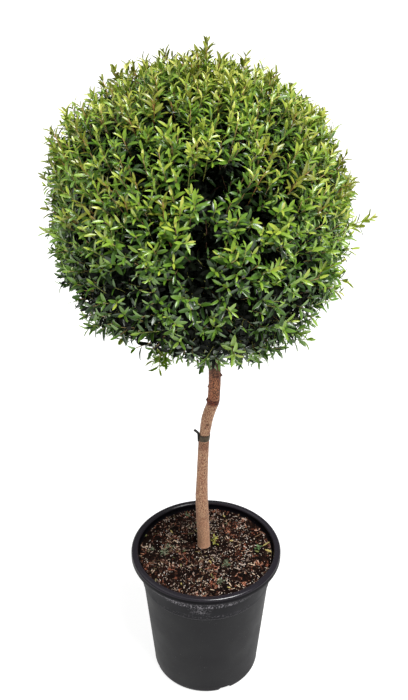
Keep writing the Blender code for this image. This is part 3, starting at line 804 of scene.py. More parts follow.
def makeTrunk(material):
    low, high = trunk["stations"][0][0], trunk["stations"][-1][0]
    count = round((high - low) / trunk["step"])
    sides = trunk["sides"]
    ringHeight, ringFall, ringHalf, ringRise, ringEnd = trunk["ring"]
    rubHeight, rubHalf, rubShare = trunk["underTie"]
    rings, scar, knot = [], [], []
    for height in (low + (high - low) * k / count for k in range(count + 1)):
        axis, radius = trunkAt(height)
        ring = []
        for turn in (tau * j / sides for j in range(sides)):
            cx, cy = math.cos(turn), math.sin(turn)
            x, y = axis[0] + radius * cx, axis[1] + radius * cy
            reach = radius + barkRelief(x, y, height, trunk["flake"])
            offset = height - (ringHeight + ringFall * (x - axis[0]))
            offset += noise.noise(Vector((cx * 2, cy * 2, 1.0))) * 0.0012
            inRing = max(0.0, 1.0 - (offset / ringHalf) ** 4)
            reach += inRing * ringRise * (0.6 + 0.8 * noiseAt(x, y, height, 0.0026, 0.0026))
            rubbed = max(0.0, 1.0 - ((height - rubHeight) / rubHalf) ** 4) * rubShare
            leftEnd = max(0.0, -cx) ** 6 * math.exp(-((offset - 0.001) / ringEnd) ** 2)
            reach += leftEnd * ringEnd
            dark = 0.0
            for azimuth, knotHeight, knotRadius, knotRise in trunk["knots"]:
                away = (turn - math.radians(azimuth) + math.pi) % tau - math.pi
                apart = math.hypot(away * radius, height - knotHeight) / knotRadius
                if apart < 2.2:
                    reach += knotRise * math.exp(-(apart**2) * 1.4)
                    dark = max(dark, math.exp(-(apart**2) * 0.9))
            ring.append((axis[0] + reach * cx, axis[1] + reach * cy, height))
            scar.append(max(rubbed, min(1.0, inRing + leftEnd)))
            knot.append(dark)
        rings.append(ring)
    piece = seat(buildPiece("trunkBark", ringSoup(rings), [material]), "bark", "trunk")
    for name, values in (("scar", scar), ("knot", knot)):
        layer = piece.data.attributes.new(name, "FLOAT", "POINT")
        layer.data.foreach_set("value", np.array(values, np.float32))


def flakingBark():
    # thin pinkish tan bark that sheds in small flakes, with rust where it is fresh and dark flecks between
    material, tree, shader = startMaterial("myrtleBarkFlaking", trunk["tan"], 0.85)
    place = addNode(tree, "TexCoord", output="Object")
    height = addNode(tree, "SeparateXYZ", {"Vector": place}, "Z")
    stretch = addNode(tree, "Mapping", {"Scale": (1.0, 1.0, 0.62), "Vector": place})
    # flecks 2 mm across, the grain between them 0.8 mm, and patches 20 mm across
    flecks, grain, patch = (
        addNode(tree, "TexNoise", {"Scale": scale, "Detail": detail, "Vector": stretch})
        for scale, detail in ((520.0, 2.0), (1250.0, 2.0), (50.0, 3.0))
    )
    scar, knot = (addNode(tree, "Attribute", {"attribute_name": name}, "Fac") for name in ("scar", "knot"))
    stops = [(0.34, trunk["fleck"]), (0.42, trunk["rust"]), (0.50, trunk["tan"]), (0.62, trunk["pale"])]
    colour = addNode(tree, "ValToRGB", {"stops": stops, "Fac": flecks})
    # grey between the flakes, rust in patches, paler and smoother at the foot as painted light against the pot's
    # shade, darker and redder above the scar, partly the bark's tint and partly painted shade, and darkest under the
    # crown, painted shade
    for value, start, end, most, over, kind in (
        (grain, 0.44, 0.62, 0.55, trunk["grey"], "MIX"),
        (patch, 0.50, 0.72, 0.45, trunk["rust"], "MIX"),
        (height, 0.370, 0.296, 0.50, trunk["foot"], "MIX"),
        (height, 0.625, 0.650, 1.0, trunk["upperTintAndShade"], "MULTIPLY"),
        (height, 0.680, 0.718, 1.0, trunk["shade"], "MULTIPLY"),
    ):
        amount = addNode(tree, "MapRange", {"From Min": start, "From Max": end, "To Max": most, "Value": value})
        settings = {"data_type": "RGBA", "blend_type": kind, 0: amount, 6: colour, 7: over}
        colour = addNode(tree, "Mix", settings, 2)
    # above the old scar the bark is rougher and dark shows between its flakes
    gaps = addNode(tree, "MapRange", {"From Min": 0.51, "From Max": 0.41, "Value": flecks})
    above = addNode(tree, "MapRange", {"From Min": 0.638, "From Max": 0.650, "Value": height})
    gaps = addNode(tree, "Math", {"operation": "MULTIPLY", 0: gaps, 1: above})
    scarStops = list(zip((0.38, 0.50, 0.62), trunk["scar"]))
    scarColour = addNode(tree, "ValToRGB", {"stops": scarStops, "Fac": flecks})
    for amount, over in ((gaps, trunk["fleck"]), (scar, scarColour), (knot, trunk["knot"])):
        colour = addNode(tree, "Mix", {"data_type": "RGBA", 0: amount, 6: colour, 7: over}, 2)
    dull = {"From Min": 0.3, "From Max": 0.7, "To Min": 0.72, "To Max": 0.95, "Value": grain}
    relief = addNode(tree, "Bump", {"Strength": 0.8, "Distance": 0.0008, "Height": flecks})
    relief = addNode(tree, "Bump", {"Strength": 0.35, "Distance": 0.0003, "Height": grain, "Normal": relief})
    setNode(shader, {
        "Base Color": colour, "Roughness": addNode(tree, "MapRange", dull), "Normal": relief,
        "Sheen Weight": trunk["fuzz"],
    })
    return material


bark = flakingBark()
makeTrunk(bark)
print("trunk raised")


# Crown: a clipped ball of masses, each on its own bough

crown = {
    "centre": (-0.010, 0.0, 1.004),
    "radius": 0.243,
    "squareness": 2.2,
    "upperElevation": 22.0,
    "lowerElevation": -33.0,
    "upper": (("right", 0), ("back", 90), ("left", 180), ("front", 270)),
    "lower": (("back_right", 45), ("back_left", 135), ("front_left", 225), ("front_right", 315)),
    "seed": 11,
}
centre = np.array(crown["centre"])
bough = {
    "tip": 0.0034,
    "base": 0.0056,
    "distance": 0.112,
    "upperHeight": 0.905,
    "lowerHeight": 0.812,
    "upperRise": 16.0,
    "lowerRise": -8.0,
    "sweep": 0.055,
    "points": 34,
    "sides": 14,
}


def wayOf(azimuthDeg, elevationDeg):
    azimuth, elevation = math.radians(azimuthDeg), math.radians(elevationDeg)
    flat = math.cos(elevation)
    return np.array((flat * math.cos(azimuth), flat * math.sin(azimuth), math.sin(elevation)))


def planMasses():
    top = wayOf(0, 90)
    tip = trunkAt(trunk["stations"][-1][0])[0]
    masses = [{"name": "top", "ring": "top", "axis": top, "stemWay": top, "tip": tip}]
    for ring in ("upper", "lower"):
        for place, azimuth in crown[ring]:
            axis = wayOf(azimuth, crown[ring + "Elevation"])
            masses.append({
                "name": f"{ring}_{place}", "ring": ring, "axis": axis,
                "stemWay": wayOf(azimuth, bough[ring + "Rise"]), "tip": centre + axis * bough["distance"],
            })
    return masses


masses = planMasses()
axes = np.array([mass["axis"] for mass in masses])


def massOf(ways):
    return np.argmax(ways @ axes.T, axis=1)


def outward(points):
    return unit(points - centre)


def crownReach(ways):
    return crown["radius"] * (np.abs(ways) ** crown["squareness"]).sum(-1) ** (-1 / crown["squareness"])


def inCrown(ways, shares):
    # points at shares of the ball's reach
    return centre + ways * (crownReach(ways) * shares)[:, None]


def ballWays(count, rng, jitter):
    # even directions by the golden angle, each moved a little
    k = np.arange(count)
    z = 1 - (2 * k + 1) / count
    flat = np.sqrt(1 - z * z)
    turn = k * math.pi * (3 - math.sqrt(5))
    ways = np.stack([flat * np.cos(turn), flat * np.sin(turn), z], axis=-1)
    return unit(ways + rng.normal(0, jitter / math.sqrt(count), (count, 3)))


def makeBoughs(material):
    for mass in masses[1:]:
        root = trunkAt(bough[mass["ring"] + "Height"])[0]
        bend = mass["tip"] - mass["stemWay"] * bough["sweep"]
        shares = np.linspace(0, 1, bough["points"])
        path = bezier((root, bend, mass["tip"]), shares)
        radii = bough["base"] + (bough["tip"] - bough["base"]) * shares
        soup = newSoup()
        addTubes(soup, path[None], radii[None], bough["sides"])
        verts = soup["verts"][0].reshape(len(path), -1, 3)
        relief = np.array([[barkRelief(*spot, trunk["flake"] * 0.7) for spot in row] for row in verts])
        verts += (verts - path[:, None]) / radii[:, None, None] * relief[..., None]
        seat(buildPiece("bough_bark_" + mass["name"], soup, [material]), "bark", "bough_" + mass["name"])


makeBoughs(bark)
print("boughs grown:", len(masses) - 1)


# Twigs, shoots and leaves

growth = {
    # what the boughs carry, from the inside out, with ends as shares of the ball's reach
    "stemReach": 0.148,  # in metres from the ball's middle
    "forks": 130,
    "forkShare": (0.56, 0.66),
    "twigs": 720,
    "twigShare": (0.75, 0.84),
    # the skin of shoots and the older tier under it: how many, shares, and how much older and darker, the darkening
    # partly painted shade
    "tiers": ((1620, (0.94, 1.01), 0.0), (1150, (0.74, 0.89), 2.1)),
    "strays": 0.06,
    "strayShare": (1.01, 1.04),
    "topLoose": 0.035,
    "topSmall": 0.10,  # how much shorter the leaves are over the top, and longer below
    "lowThin": 0.40,
    "sideShoots": 2500,
    "sideLength": (0.018, 0.034),
    "span": (0.056, 0.080),
    "tipLeaf": 0.007,
    "lift": (0.62, 0.06, 0.60),  # how far shoots turn up: all round, less below, more above
    "scatter": 0.22,
    "swell": ((0.0, 0.18, 0.65, 0.9, 1.0), (0.72, 0.95, 1.0, 0.86, 0.68)),  # leaf size along the shoot
    # stem radii, at the foot and the tip
    "radii": {
        "stem": (bough["tip"], 0.0028), "fork": (0.0024, 0.0015), "twig": (0.0014, 0.0009),
        "shoot": (0.0012, 0.0007), "side": (0.0007, 0.0004),
    },
    "fold": (0.22, 0.62),
    "curl": (0.10, 0.42),
    # how much darker the limbs' leaves are, partly age and partly painted shade
    "limbAgeAndShade": 5.6,
    # leaf tones by age, partly painted light: lighter over the top and on the sunny side, darker below
    "ageAndShade": (2.15, 1.8, 0.45, 1.1, 0.4),  # all round, then how much less above, on the sunny side, in patches; spread
    "toneSpread": 0.42,
    "leafBreadth": (0.33, 0.275),  # of the length, at the shoot's foot and tip
    "lumps": 0.020,
    "lumpSize": 0.32,
    "olive": (0.16, 0.45),  # the share of the top's shoots that are olive, and of those that stand proud
    # leaves deep in the ball are painted darker, a painted shade
    "shade": (0.972, 23.0, 0.45),  # the share of the reach under which leaves darken, how fast, and less so above
}
leafKinds = {
    # leafy share of the stem, gap between pairs, longest leaf, pitch at foot and tip, ageing down to the foot, which
    # darkens the leaves there partly as painted shade
    "shoot": {
        "leafy": 0.92, "gap": 0.0080, "leaf": 0.0225, "pitch": (72.0, 30.0), "ageingAndShade": 1.9, "shape": "full",
    },
    "side": {
        "leafy": 0.86, "gap": 0.0062, "leaf": 0.0165, "pitch": (64.0, 28.0), "ageingAndShade": 0.8, "shape": "small",
    },
    "twig": {
        "leafy": 0.80, "gap": 0.0050, "leaf": 0.0245, "pitch": (76.0, 50.0), "ageingAndShade": 0.5, "shape": "plain",
    },
}
# hollows in the ball, where old wood and shade show: azimuth, elevation, half angle and depth
hollows = (
    (-82, 30, 9.5, 0.36), (-70, 21.5, 7, 0.26), (-89, 9, 9, 0.33), (-98, 8, 6, 0.22), (-93, -1, 6.5, 0.26),
    (-119, -8, 6, 0.16), (-47, -18, 7, 0.16), (-79, -36, 11, 0.26), (-108, -34, 7, 0.18), (-52, -42, 8, 0.2),
    (219, -46, 8, 0.12), (240, -60, 16, 0.3), (132, 14, 9, 0.22), (60, 20, 9, 0.24), (95, -12, 8, 0.2),
    (38, -24, 8, 0.22), (155, -24, 7, 0.18), (80, -45, 9, 0.22), (250, 48, 7, 0.12), (30, 52, 7, 0.14),
)
# where the clipping left the ball fuller: azimuth, elevation, half angle and rise
swells = (
    (180, 33, 26, 0.06), (182, -14, 14, 0.022), (215, 68, 20, 0.03), (-28, -58, 24, 0.065), (-66, -60, 12, 0.055),
    (-34, -41, 12, 0.045), (-22, -27, 8, 0.03), (208, -35, 9, 0.045), (180, -46, 16, 0.045), (70, -40, 24, 0.04),
    (110, 38, 22, 0.035),
)
# shoots that the shears missed: tip azimuth, elevation and distance, way azimuth and elevation, length
strayShoots = (
    (70, 84, 0.2665, 60, 84, 0.08), (-107, 44, 0.246, -110, 52, 0.06), (-102, 41, 0.246, -96, 52, 0.06),
    (-105, 48, 0.247, -104, 58, 0.06), (258, 84, 0.26, 250, 70, 0.07), (0, 87, 0.264, 20, 75, 0.07),
    (-31, 81, 0.252, -20, 72, 0.065), (16, 73, 0.258, 10, 70, 0.065), (180, 78, 0.258, 190, 75, 0.065),
    (168, 69, 0.258, 175, 62, 0.065), (180, 60, 0.262, 180, 55, 0.065), (180, 37, 0.266, 178, 42, 0.07),
    (181, 24, 0.256, 182, 30, 0.07), (100, 60, 0.262, 95, 60, 0.07), (50, 30, 0.262, 45, 40, 0.07),
    (-8, 1, 0.281, 0, 18, 0.1), (-4, -3, 0.268, 6, 14, 0.075), (-12, -22, 0.272, -8, -8, 0.085),
    (-9, -28, 0.274, -5, -14, 0.075), (237.6, -54.6, 0.256, 199.9, -21.4, 0.085),
    (242.1, -50.5, 0.236, 216.5, 47, 0.034), (245.2, -56.8, 0.264, 221.2, -59.5, 0.034),
    (235, -53, 0.252, 180, 21, 0.03), (249.8, -50.7, 0.224, 239.3, 40, 0.034),
    (254.6, -56.3, 0.246, 252.9, -35.4, 0.034), (264.2, -57.3, 0.245, 296.1, -44.8, 0.034),
    (241.3, -59.4, 0.272, 180, -88.6, 0.03), (-74, -41, 0.258, -82, -8, 0.055), (203, -54, 0.258, 195, -35, 0.075),
    (190, -49, 0.262, 185, -30, 0.075), (-39, -73, 0.262, -30, -60, 0.075), (-9, -64, 0.268, 0, -45, 0.08),
    (0, -57, 0.272, 5, -40, 0.08), (120, -50, 0.262, 125, -30, 0.075),
)
leafTones = {
    # waxy evergreen leaf, from this year's yellow-green flush to the dark of last year's; the darker tones also stand
    # for painted shade inside the ball, and the darkest only for it
    "waxyLeafFlush": "#c9ce5c",
    "waxyLeafYoung": "#adc042",
    "waxyLeafFresh": "#8bae32",
    "waxyLeafGrown": "#6b9428",
    "waxyLeafFull": "#4a721c",
    "waxyLeafOldAndShaded": "#274514",
    "waxyLeafShade": "#091204",
    "waxyLeafOlive": "#8d962b",
}
leafGloss = {
    # roughness and index of refraction of fresh and of dull leaves, and the fresh ones' coat
    "fresh": (0.42, 1.50), "dull": (0.60, 1.30), "wax": 0.85, "waxRoughness": 0.27,
}
stemTones = {
    # colour and roughness: dull brown bark on the twigs, smoother tan, green and red skin on the shoots
    "twigBarkBrown": ("#735640", 0.8),
    "shootStemTan": ("#ae9560", 0.6),
    "shootStemGreen": ("#a6aa58", 0.5),
    "shootStemRed": ("#b4874e", 0.5),
}


def softLump(ways, size, seed):
    return np.array([noise.noise(Vector(way) / size + Vector((seed, 0.0, 0.0))) for way in ways])


def nearest(points, others, group, otherGroup):
    # the nearest of others in the same mass
    found = np.zeros(len(points), int)
    for mass in np.unique(group):
        mine = np.where(group == mass)[0]
        theirs = np.where(otherGroup == mass)[0]
        apart = np.linalg.norm(points[mine][:, None] - others[theirs][None], axis=-1)
        found[mine] = theirs[np.argmin(apart, axis=1)]
    return found


def capHeight(ways, caps, profile):
    # the highest of the caps over each way; profile gives the height by the share of the half angle
    most = np.zeros(len(ways))
    for azimuth, elevation, half, height in caps:
        angle = np.degrees(np.arccos(np.clip(ways @ wayOf(azimuth, elevation), -1, 1)))
        most = np.maximum(most, height * np.clip(profile(angle / half), 0, 1))
    return most


def swellRise(ways):
    return capHeight(ways, swells, lambda share: 1 - share**2)


def hollowDepth(ways):
    return capHeight(ways, hollows, lambda share: 1.6 * (1 - share))


def curveOf(shoots, rows=slice(None)):
    return [shoots[key][rows] for key in ("first", "control", "last")]


def chosen(shoots, rows):
    return {key: values[rows] for key, values in shoots.items()}


def startShoots(rng, first, control, last, mass):
    count = len(first)
    bends = [np.linalg.norm(b - a, axis=-1) for a, b in ((first, control), (control, last), (first, last))]
    return {
        "first": first, "control": control, "last": last, "length": sum(bends) / 2, "mass": mass,
        "helper": rng.normal(0, 1, (count, 3)), "turn": rng.uniform(0, tau, count),
        "vigour": rng.uniform(0.84, 1.12, count), "ageAndShade": np.zeros(count), "red": np.zeros(count, bool),
        "shade": np.ones(count), "steep": 5.0 * np.clip(outward(last)[:, 2], 0, 1) ** 2,
    }


def aimShoots(rng, ways, share, holds, holdMass):
    # a shoot is laid back from its tip at the clipped surface, leaning up and out, to the nearest twig
    level, below, above = growth["lift"]
    rise = level + below * np.minimum(ways[:, 2], 0) + above * np.maximum(ways[:, 2], 0)
    lean = ways + rise[:, None] * upright
    lean = unit(lean + rng.normal(0, growth["scatter"], ways.shape))
    span = rng.uniform(*growth["span"], len(ways))[:, None]
    last = inCrown(ways, share) - lean * growth["tipLeaf"]
    first = holds[nearest(last - lean * span, holds, massOf(ways), holdMass)]
    return startShoots(rng, first, last - lean * span * 0.55, last, massOf(ways))


def addShootLeaves(soups, rng, shoots, kind):
    # opposite pairs, each a quarter turn from the last, from the shoot's foot to its tip
    small = 1 - growth["topSmall"] * outward(shoots["last"])[:, 2]
    nodes = np.maximum((shoots["length"] * kind["leafy"] / kind["gap"] / np.sqrt(small)).astype(int), 3)
    owner = np.repeat(np.arange(len(nodes)), nodes)
    count = len(owner)
    order = np.concatenate([np.arange(n) for n in nodes])
    share = (order + 1) / nodes[owner]
    place = 1 - kind["leafy"] * (1 - share) ** 1.1
    curve = curveOf(shoots, owner)
    spot, way = bezier(curve, place), bezierWay(curve, place)
    chord = unit(curve[2] - curve[0])
    helper = unit(np.cross(chord, shoots["helper"][owner]))
    other = np.cross(chord, helper)
    turn = shoots["turn"][owner] + order * (math.pi / 2) + rng.normal(0, 0.22, count)
    for flip in (0.0, math.pi):
        angle = turn + flip + rng.normal(0, 0.12, count)
        out = np.cos(angle)[:, None] * helper + np.sin(angle)[:, None] * other
        out = unit(out - way * (out * way).sum(-1, keepdims=True))
        low, high = kind["pitch"]
        pitch = np.radians(low + (high - low) * share**1.6 + rng.normal(0, 10.0, count) - shoots["steep"][owner])
        forth, aside = np.cos(pitch)[:, None], np.sin(pitch)[:, None]
        along = unit(forth * way + aside * out + upright * rng.normal(0.06, 0.10, count)[:, None])
        normal = aside * way - forth * out
        normal = unit(normal + rng.normal(0, 0.16, normal.shape))
        swell = np.interp(share, *growth["swell"])
        size = kind["leaf"] * (shoots["vigour"] * small)[owner] * swell * rng.uniform(0.80, 1.12, count)
        width = size * np.interp(share, (0.3, 1.0), growth["leafBreadth"]) * rng.uniform(0.88, 1.14, count)
        reach = np.linalg.norm(spot - centre, axis=-1) / crownReach(outward(spot))
        tone = shoots["ageAndShade"][owner] + kind["ageingAndShade"] * (1 - share) + rng.normal(0, growth["toneSpread"], count)
        # leaves deep in the ball are darkened, less so over the top: painted shade
        limit, slope, above = growth["shade"]
        dark = np.maximum(limit - reach, 0) * slope * (1 - above * outward(spot)[:, 2])
        tone = tone + dark * shoots["shade"][owner] - 0.6 * (share > 0.86)
        slots = np.clip(np.round(tone), 0, len(leafTones) - 2).astype(int)
        slots = np.where(shoots["red"][owner] & (share > 0.5), len(leafTones) - 1, slots)
        fold = rng.uniform(*growth["fold"], count)
        curl = rng.uniform(*growth["curl"], count)
        leaves = spot + out * 0.0004, along, normal, size, width, fold, curl, slots
        for mass, soup in enumerate(soups):
            mine = shoots["mass"][owner] == mass
            if mine.any():
                addLeaves(soup, *(values[mine] for values in leaves), kind["shape"])
    return 2 * count


def addStems(soups, shoots, radii, rings, sides, slots):
    shares = np.linspace(0, 1, rings)
    curve = curveOf(shoots, (slice(None), None))
    paths = bezier(curve, np.broadcast_to(shares, (len(curve[0]), rings)))
    thick = (radii[0] + (radii[1] - radii[0]) * shares)[None] * shoots["vigour"][:, None]
    slots = np.broadcast_to(slots, len(paths))
    for mass, soup in enumerate(soups):
        mine = shoots["mass"] == mass
        if mine.any():
            addTubes(soup, paths[mine], thick[mine], sides, slots[mine])


def shootAgeAndShade(rng, tips):
    # the flush is brightest over the top and on the sunnier side, in patches: partly real flush and partly painted
    # light, and the bottom and the shaded side are painted darker
    level, above, sunny, patchy, spread = growth["ageAndShade"]
    out = outward(tips)
    patches = softLump(out, 0.22, 5.0)
    return level - above * out[:, 2] - sunny * out[:, 0] - patchy * patches + rng.normal(0, spread, len(tips))


def limbs(rng, start, startWay, end, mass):
    # stems, forks and twigs: they leave along startWay and bend to their end
    length = np.linalg.norm(end - start, axis=-1)
    made = startShoots(rng, start, start + unit(startWay) * (length * 0.5)[:, None], end, mass)
    # leaves on the limbs inside the ball take the darkest tones: partly old leaves, partly painted shade
    made["ageAndShade"] += growth["limbAgeAndShade"]
    return made


def growLimbs(rng, stemSoups):
    # a stem goes on from each bough's tip to the middle of its mass, then forks, then twigs
    radii = growth["radii"]
    tips, stemWays = (np.array([mass[key] for mass in masses]) for key in ("tip", "stemWay"))
    stems = limbs(rng, tips, stemWays, centre + axes * growth["stemReach"], np.arange(len(masses)))
    stems["vigour"][:] = 1.0
    addStems(stemSoups, stems, radii["stem"], 6, 8, 0)

    ways = ballWays(growth["forks"], rng, 0.6)
    mass = massOf(ways)
    ends = inCrown(ways, rng.uniform(*growth["forkShare"], len(ways)))
    starts = bezier(curveOf(stems, mass), rng.uniform(0.35, 1.0, len(ways)))
    forks = limbs(rng, starts, axes[mass] + ways * 0.4, ends, mass)
    addStems(stemSoups, forks, radii["fork"], 6, 6, 0)

    ways = ballWays(growth["twigs"], rng, 0.8)
    mass = massOf(ways)
    share = rng.uniform(*growth["twigShare"], len(ways)) * (1 + swellRise(ways) - hollowDepth(ways))
    ends = inCrown(ways, share)
    parent = nearest(ends, forks["last"], mass, forks["mass"])
    starts = bezier(curveOf(forks, parent), rng.uniform(0.45, 1.0, len(ways)))
    forkWays = unit(forks["last"] - forks["first"])[parent]
    twigs = limbs(rng, starts, forkWays + ways * 0.5, ends, mass)
    addStems(stemSoups, twigs, radii["twig"], 5, 5, 0)
    return forks, twigs


def growTier(rng, holds, holdMass, count, shares, olderAndShaded):
    # outer shoots form the leafy skin of the ball, and older ones a shorter tier under it, darker partly as painted
    # shade
    outer = olderAndShaded == 0
    ways = ballWays(count, rng, 0.9)
    depth = hollowDepth(ways)
    thin = growth["lowThin"] * np.clip((-ways[:, 2] - 0.2) / 0.4, 0, 1)
    kept = rng.uniform(0, 1, len(ways)) > np.maximum(depth * 3.0, thin)
    ways, depth = ways[kept], depth[kept]
    share = rng.uniform(*shares, len(ways)) + growth["lumps"] * softLump(ways, growth["lumpSize"], 2.0)
    share += growth["topLoose"] * np.maximum(ways[:, 2], 0) * rng.uniform(-1.4, 0.8, len(ways))
    missed = (rng.uniform(0, 1, len(ways)) < growth["strays"]) & outer
    share = np.where(missed, rng.uniform(*growth["strayShare"], len(ways)), share)
    share = share * (1 + swellRise(ways) - depth)
    tier = aimShoots(rng, ways, share, holds, holdMass)
    tier["ageAndShade"] = shootAgeAndShade(rng, tier["last"]) + olderAndShaded
    high = (ways[:, 2] + 0.3 * np.abs(ways[:, 0]) > 0.40) & outer
    some, proud = growth["olive"]
    tier["red"] = high & (rng.uniform(0, 1, len(high)) < np.where(share > 0.99, proud, some))
    return tier


def growStrays(rng):
    # the shoots that the shears missed, and apart from them the short ones of the low tuft
    lean = np.array([wayOf(a, e) for _, _, _, a, e, _ in strayShoots])
    tip = np.array([centre + wayOf(a, e) * d for a, e, d, *_ in strayShoots]) - lean * 0.010
    span = np.array([length for *_, length in strayShoots])[:, None]
    control = tip - lean * span * 0.5 - (0, 0, 0.003)
    strays = startShoots(rng, tip - lean * span, control, tip, massOf(outward(tip)))
    steep = outward(tip)[:, 2]
    # the strays keep young, light tones and little painted shade: partly young growth, partly painted light where
    # they stand in the crown's shade
    strays["ageAndShade"] = np.clip(shootAgeAndShade(rng, tip), 0.7, np.where(steep < -0.5, 1.9, 1.3))
    strays["shade"][:] = 0.2
    strays["red"] = tip[:, 2] > centre[2] + 0.21
    strays["vigour"][:] = np.where(np.abs(steep) > 0.75, 1.2, 1.06)
    short = span[:, 0] < 0.04
    return chosen(strays, short), chosen(strays, ~short)


def growSideShoots(rng, shoots):
    # side shoots in the leaf axils
    owner = rng.integers(0, len(shoots["first"]), growth["sideShoots"])
    at = rng.uniform(0.25, 0.80, len(owner))
    curve = curveOf(shoots, owner)
    start, way = bezier(curve, at), bezierWay(curve, at)
    out = unit(np.cross(way, rng.normal(0, 1, way.shape)))
    length = rng.uniform(*growth["sideLength"], len(owner))[:, None]
    last = start + unit(way + 0.9 * out + (0, 0, 0.15)) * length
    sides = startShoots(rng, start, start + unit(way + 1.6 * out) * length * 0.45, last, shoots["mass"][owner])
    sides["ageAndShade"] = shoots["ageAndShade"][owner] + 0.3
    return chosen(sides, np.linalg.norm(last - centre, axis=-1) < crownReach(outward(last)) * 1.02)


def leafMaterials():
    materials = []
    for name, colour in leafTones.items():
        # the darkest tone is painted shade deep in the crown, and dull, without the wax coat
        dull = name == "waxyLeafShade"
        rough, ior = leafGloss["dull"] if dull else leafGloss["fresh"]
        material, _, shader = startMaterial(name, colour, rough, ior)
        if not dull:
            setNode(shader, {"Coat Weight": leafGloss["wax"], "Coat Roughness": leafGloss["waxRoughness"]})
        materials.append(material)
    return materials


def growCrown():
    rng = np.random.default_rng(crown["seed"])
    leafSoups = [newSoup() for _ in masses]
    stemSoups = [newSoup() for _ in masses]
    forks, twigs = growLimbs(rng, stemSoups)
    leaves = addShootLeaves(leafSoups, rng, twigs, leafKinds["twig"])
    leaves += addShootLeaves(leafSoups, rng, forks, leafKinds["twig"])

    holdShares = (0.55, 0.66, 0.78, 0.89, 1.0)
    holds = np.concatenate([bezier(curveOf(twigs), np.full(len(twigs["first"]), s)) for s in holdShares])
    holdMass = np.tile(twigs["mass"], len(holdShares))
    tiers = [growTier(rng, holds, holdMass, *tier) for tier in growth["tiers"]]
    tuft, strays = growStrays(rng)
    leaves += addShootLeaves(leafSoups, rng, tuft, leafKinds["side"])
    addStems(stemSoups, tuft, growth["radii"]["shoot"], 5, 3, 2)
    shoots = {key: np.concatenate([group[key] for group in (*tiers, strays)]) for key in strays}
    leaves += addShootLeaves(leafSoups, rng, shoots, leafKinds["shoot"])
    draw = rng.uniform(0, 1, len(shoots["first"]))
    stemSlots = np.where(shoots["red"], 3, np.where(draw < 0.55, 1, 2))
    # stems in the hollows take the dark twig bark: partly older wood, partly painted shade
    stemSlots[hollowDepth(outward(shoots["last"])) > 0.02] = 0
    addStems(stemSoups, shoots, growth["radii"]["shoot"], 5, 3, stemSlots)
    sides = growSideShoots(rng, shoots)
    leaves += addShootLeaves(leafSoups, rng, sides, leafKinds["side"])
    addStems(stemSoups, sides, growth["radii"]["side"], 3, 3, 2)

    leafFinishes = leafMaterials()
    stemFinishes = [startMaterial(name, colour, rough)[0] for name, (colour, rough) in stemTones.items()]
    for mass, leafSoup, stemSoup in zip(masses, leafSoups, stemSoups):
        node = "foliage_" + mass["name"]
        seat(buildPiece("leaves_" + mass["name"], leafSoup, leafFinishes), "leaves", node)
        seat(buildPiece("twigs_" + mass["name"], stemSoup, stemFinishes), "bark", node)
    print("crown grown:", len(shoots["first"]), "shoots,", leaves, "leaves")


growCrown()


# Tie: a flat strap of soft PVC round the trunk, with a black end that stands off

tie = {
    "height": 0.5560,
    "width": 0.0130,
    "thickness": 0.0008,
    "olive": "#52432c",
    "black": "#191817",
    # the black end's path beside the trunk, its breadth and thickness, and its twist at the foot in degrees
    "end": (
        (-0.0142, 0.01, 0.5483), (-0.0142, 0.01, 0.556), (-0.0142, 0.01, 0.5631), (-0.0151, 0.009, 0.5676),
        (-0.0188, 0.0075, 0.5722), (-0.0224, 0.006, 0.5764),
    ),
    "endSize": (0.0048, 0.0013),
    "endTwist": 50.0,
    "dirt": "#382f24",
    "worn": "#6b5b47",
    "dust": "#393734",
}


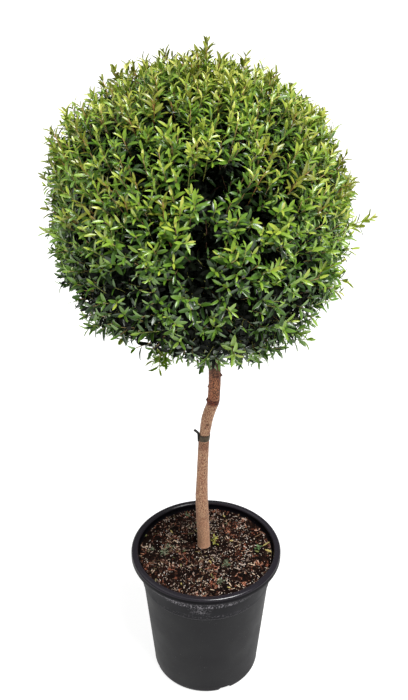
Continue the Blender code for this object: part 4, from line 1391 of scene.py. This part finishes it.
def makeStrap():
    # rounded strap section swept round the trunk, which leans here, so each row sits on its own centre
    half, thick, sides = tie["width"] / 2, tie["thickness"], 64
    section = [(0.00015, -half)] + [
        (thick * math.sin(a) ** 0.5, -half * math.cos(a)) for a in np.linspace(0.25, math.pi - 0.25, 9)
    ] + [(0.00015, half)]
    rings = []
    for out, up in section:
        height = tie["height"] + up
        axis, radius = trunkAt(height)
        ring = []
        for turn in (tau * k / sides for k in range(sides)):
            wave = 0.00012 * math.sin(3 * turn + up * 300)
            reach = radius + 0.0002 + out + wave
            ring.append((axis[0] + reach * math.cos(turn), axis[1] + reach * math.sin(turn), height))
        rings.append(ring)
    # extruded with fine ribs: dull and olive, dark where dirt stays, paler where it is rubbed
    material, tree, shader = startMaterial("softPvcStrapWorn", tie["olive"], 0.62)
    place = addNode(tree, "TexCoord", output="Object")
    dirt = addNode(tree, "TexNoise", {"Scale": 220.0, "Detail": 4.0, "Vector": place})
    stops = [(0.3, tie["dirt"]), (0.6, tie["olive"]), (0.8, tie["worn"])]
    ribs = {"wave_type": "BANDS", "bands_direction": "Z", "Scale": 160.0, "Vector": place}
    rib = addNode(tree, "TexWave", ribs, "Fac")
    setNode(shader, {
        "Base Color": addNode(tree, "ValToRGB", {"stops": stops, "Fac": dirt}),
        "Normal": addNode(tree, "Bump", {"Strength": 0.25, "Distance": 0.0003, "Height": rib}),
    })
    seat(buildPiece("tieStrap", ringSoup(rings, wrapped=True), [material]), "tie_strap", "tie")


def makeTieEnd():
    # a flat ribbon through its points
    points = np.array(tie["end"])
    shares = np.linspace(0, len(points) - 1, 26)
    path = np.stack([np.interp(shares, np.arange(len(points)), points[:, k]) for k in range(3)], axis=-1)
    for _ in range(3):
        path[1:-1] = (path[:-2] + 2 * path[1:-1] + path[2:]) / 4
    ways = unit(np.gradient(path, axis=0))
    wide = unit(np.cross(ways, np.array((0.0, -0.82, 0.57))))
    thin = np.cross(ways, wide)
    twist = np.radians(tie["endTwist"]) * np.linspace(1.0, -0.3, len(path)).clip(0)[:, None]
    wide, thin = wide * np.cos(twist) + thin * np.sin(twist), thin * np.cos(twist) - wide * np.sin(twist)
    across, deep = (size / 2 for size in tie["endSize"])
    corners = [(-across, -deep), (across, -deep), (across, deep), (-across, deep)]
    rings = np.stack([path + wide * w + thin * t for w, t in corners], axis=1)
    # extruded: black, with a bloom of dust
    material, tree, shader = startMaterial("softPvcBlack", tie["black"], 0.5)
    dust = addNode(tree, "TexNoise", {"Scale": 300.0, "Detail": 3.0})
    stops = [(0.4, tie["black"]), (0.8, tie["dust"])]
    setNode(shader, {"Base Color": addNode(tree, "ValToRGB", {"stops": stops, "Fac": dust})})
    end = seat(buildPiece("tieEnd", ringSoup(rings), [material], smooth=False), "tie_strap", "tie")
    bevel = end.modifiers.new("edges", "BEVEL")
    bevel.width = 0.0003
    bevel.segments = 2


makeStrap()
makeTieEnd()
print("tie fastened")
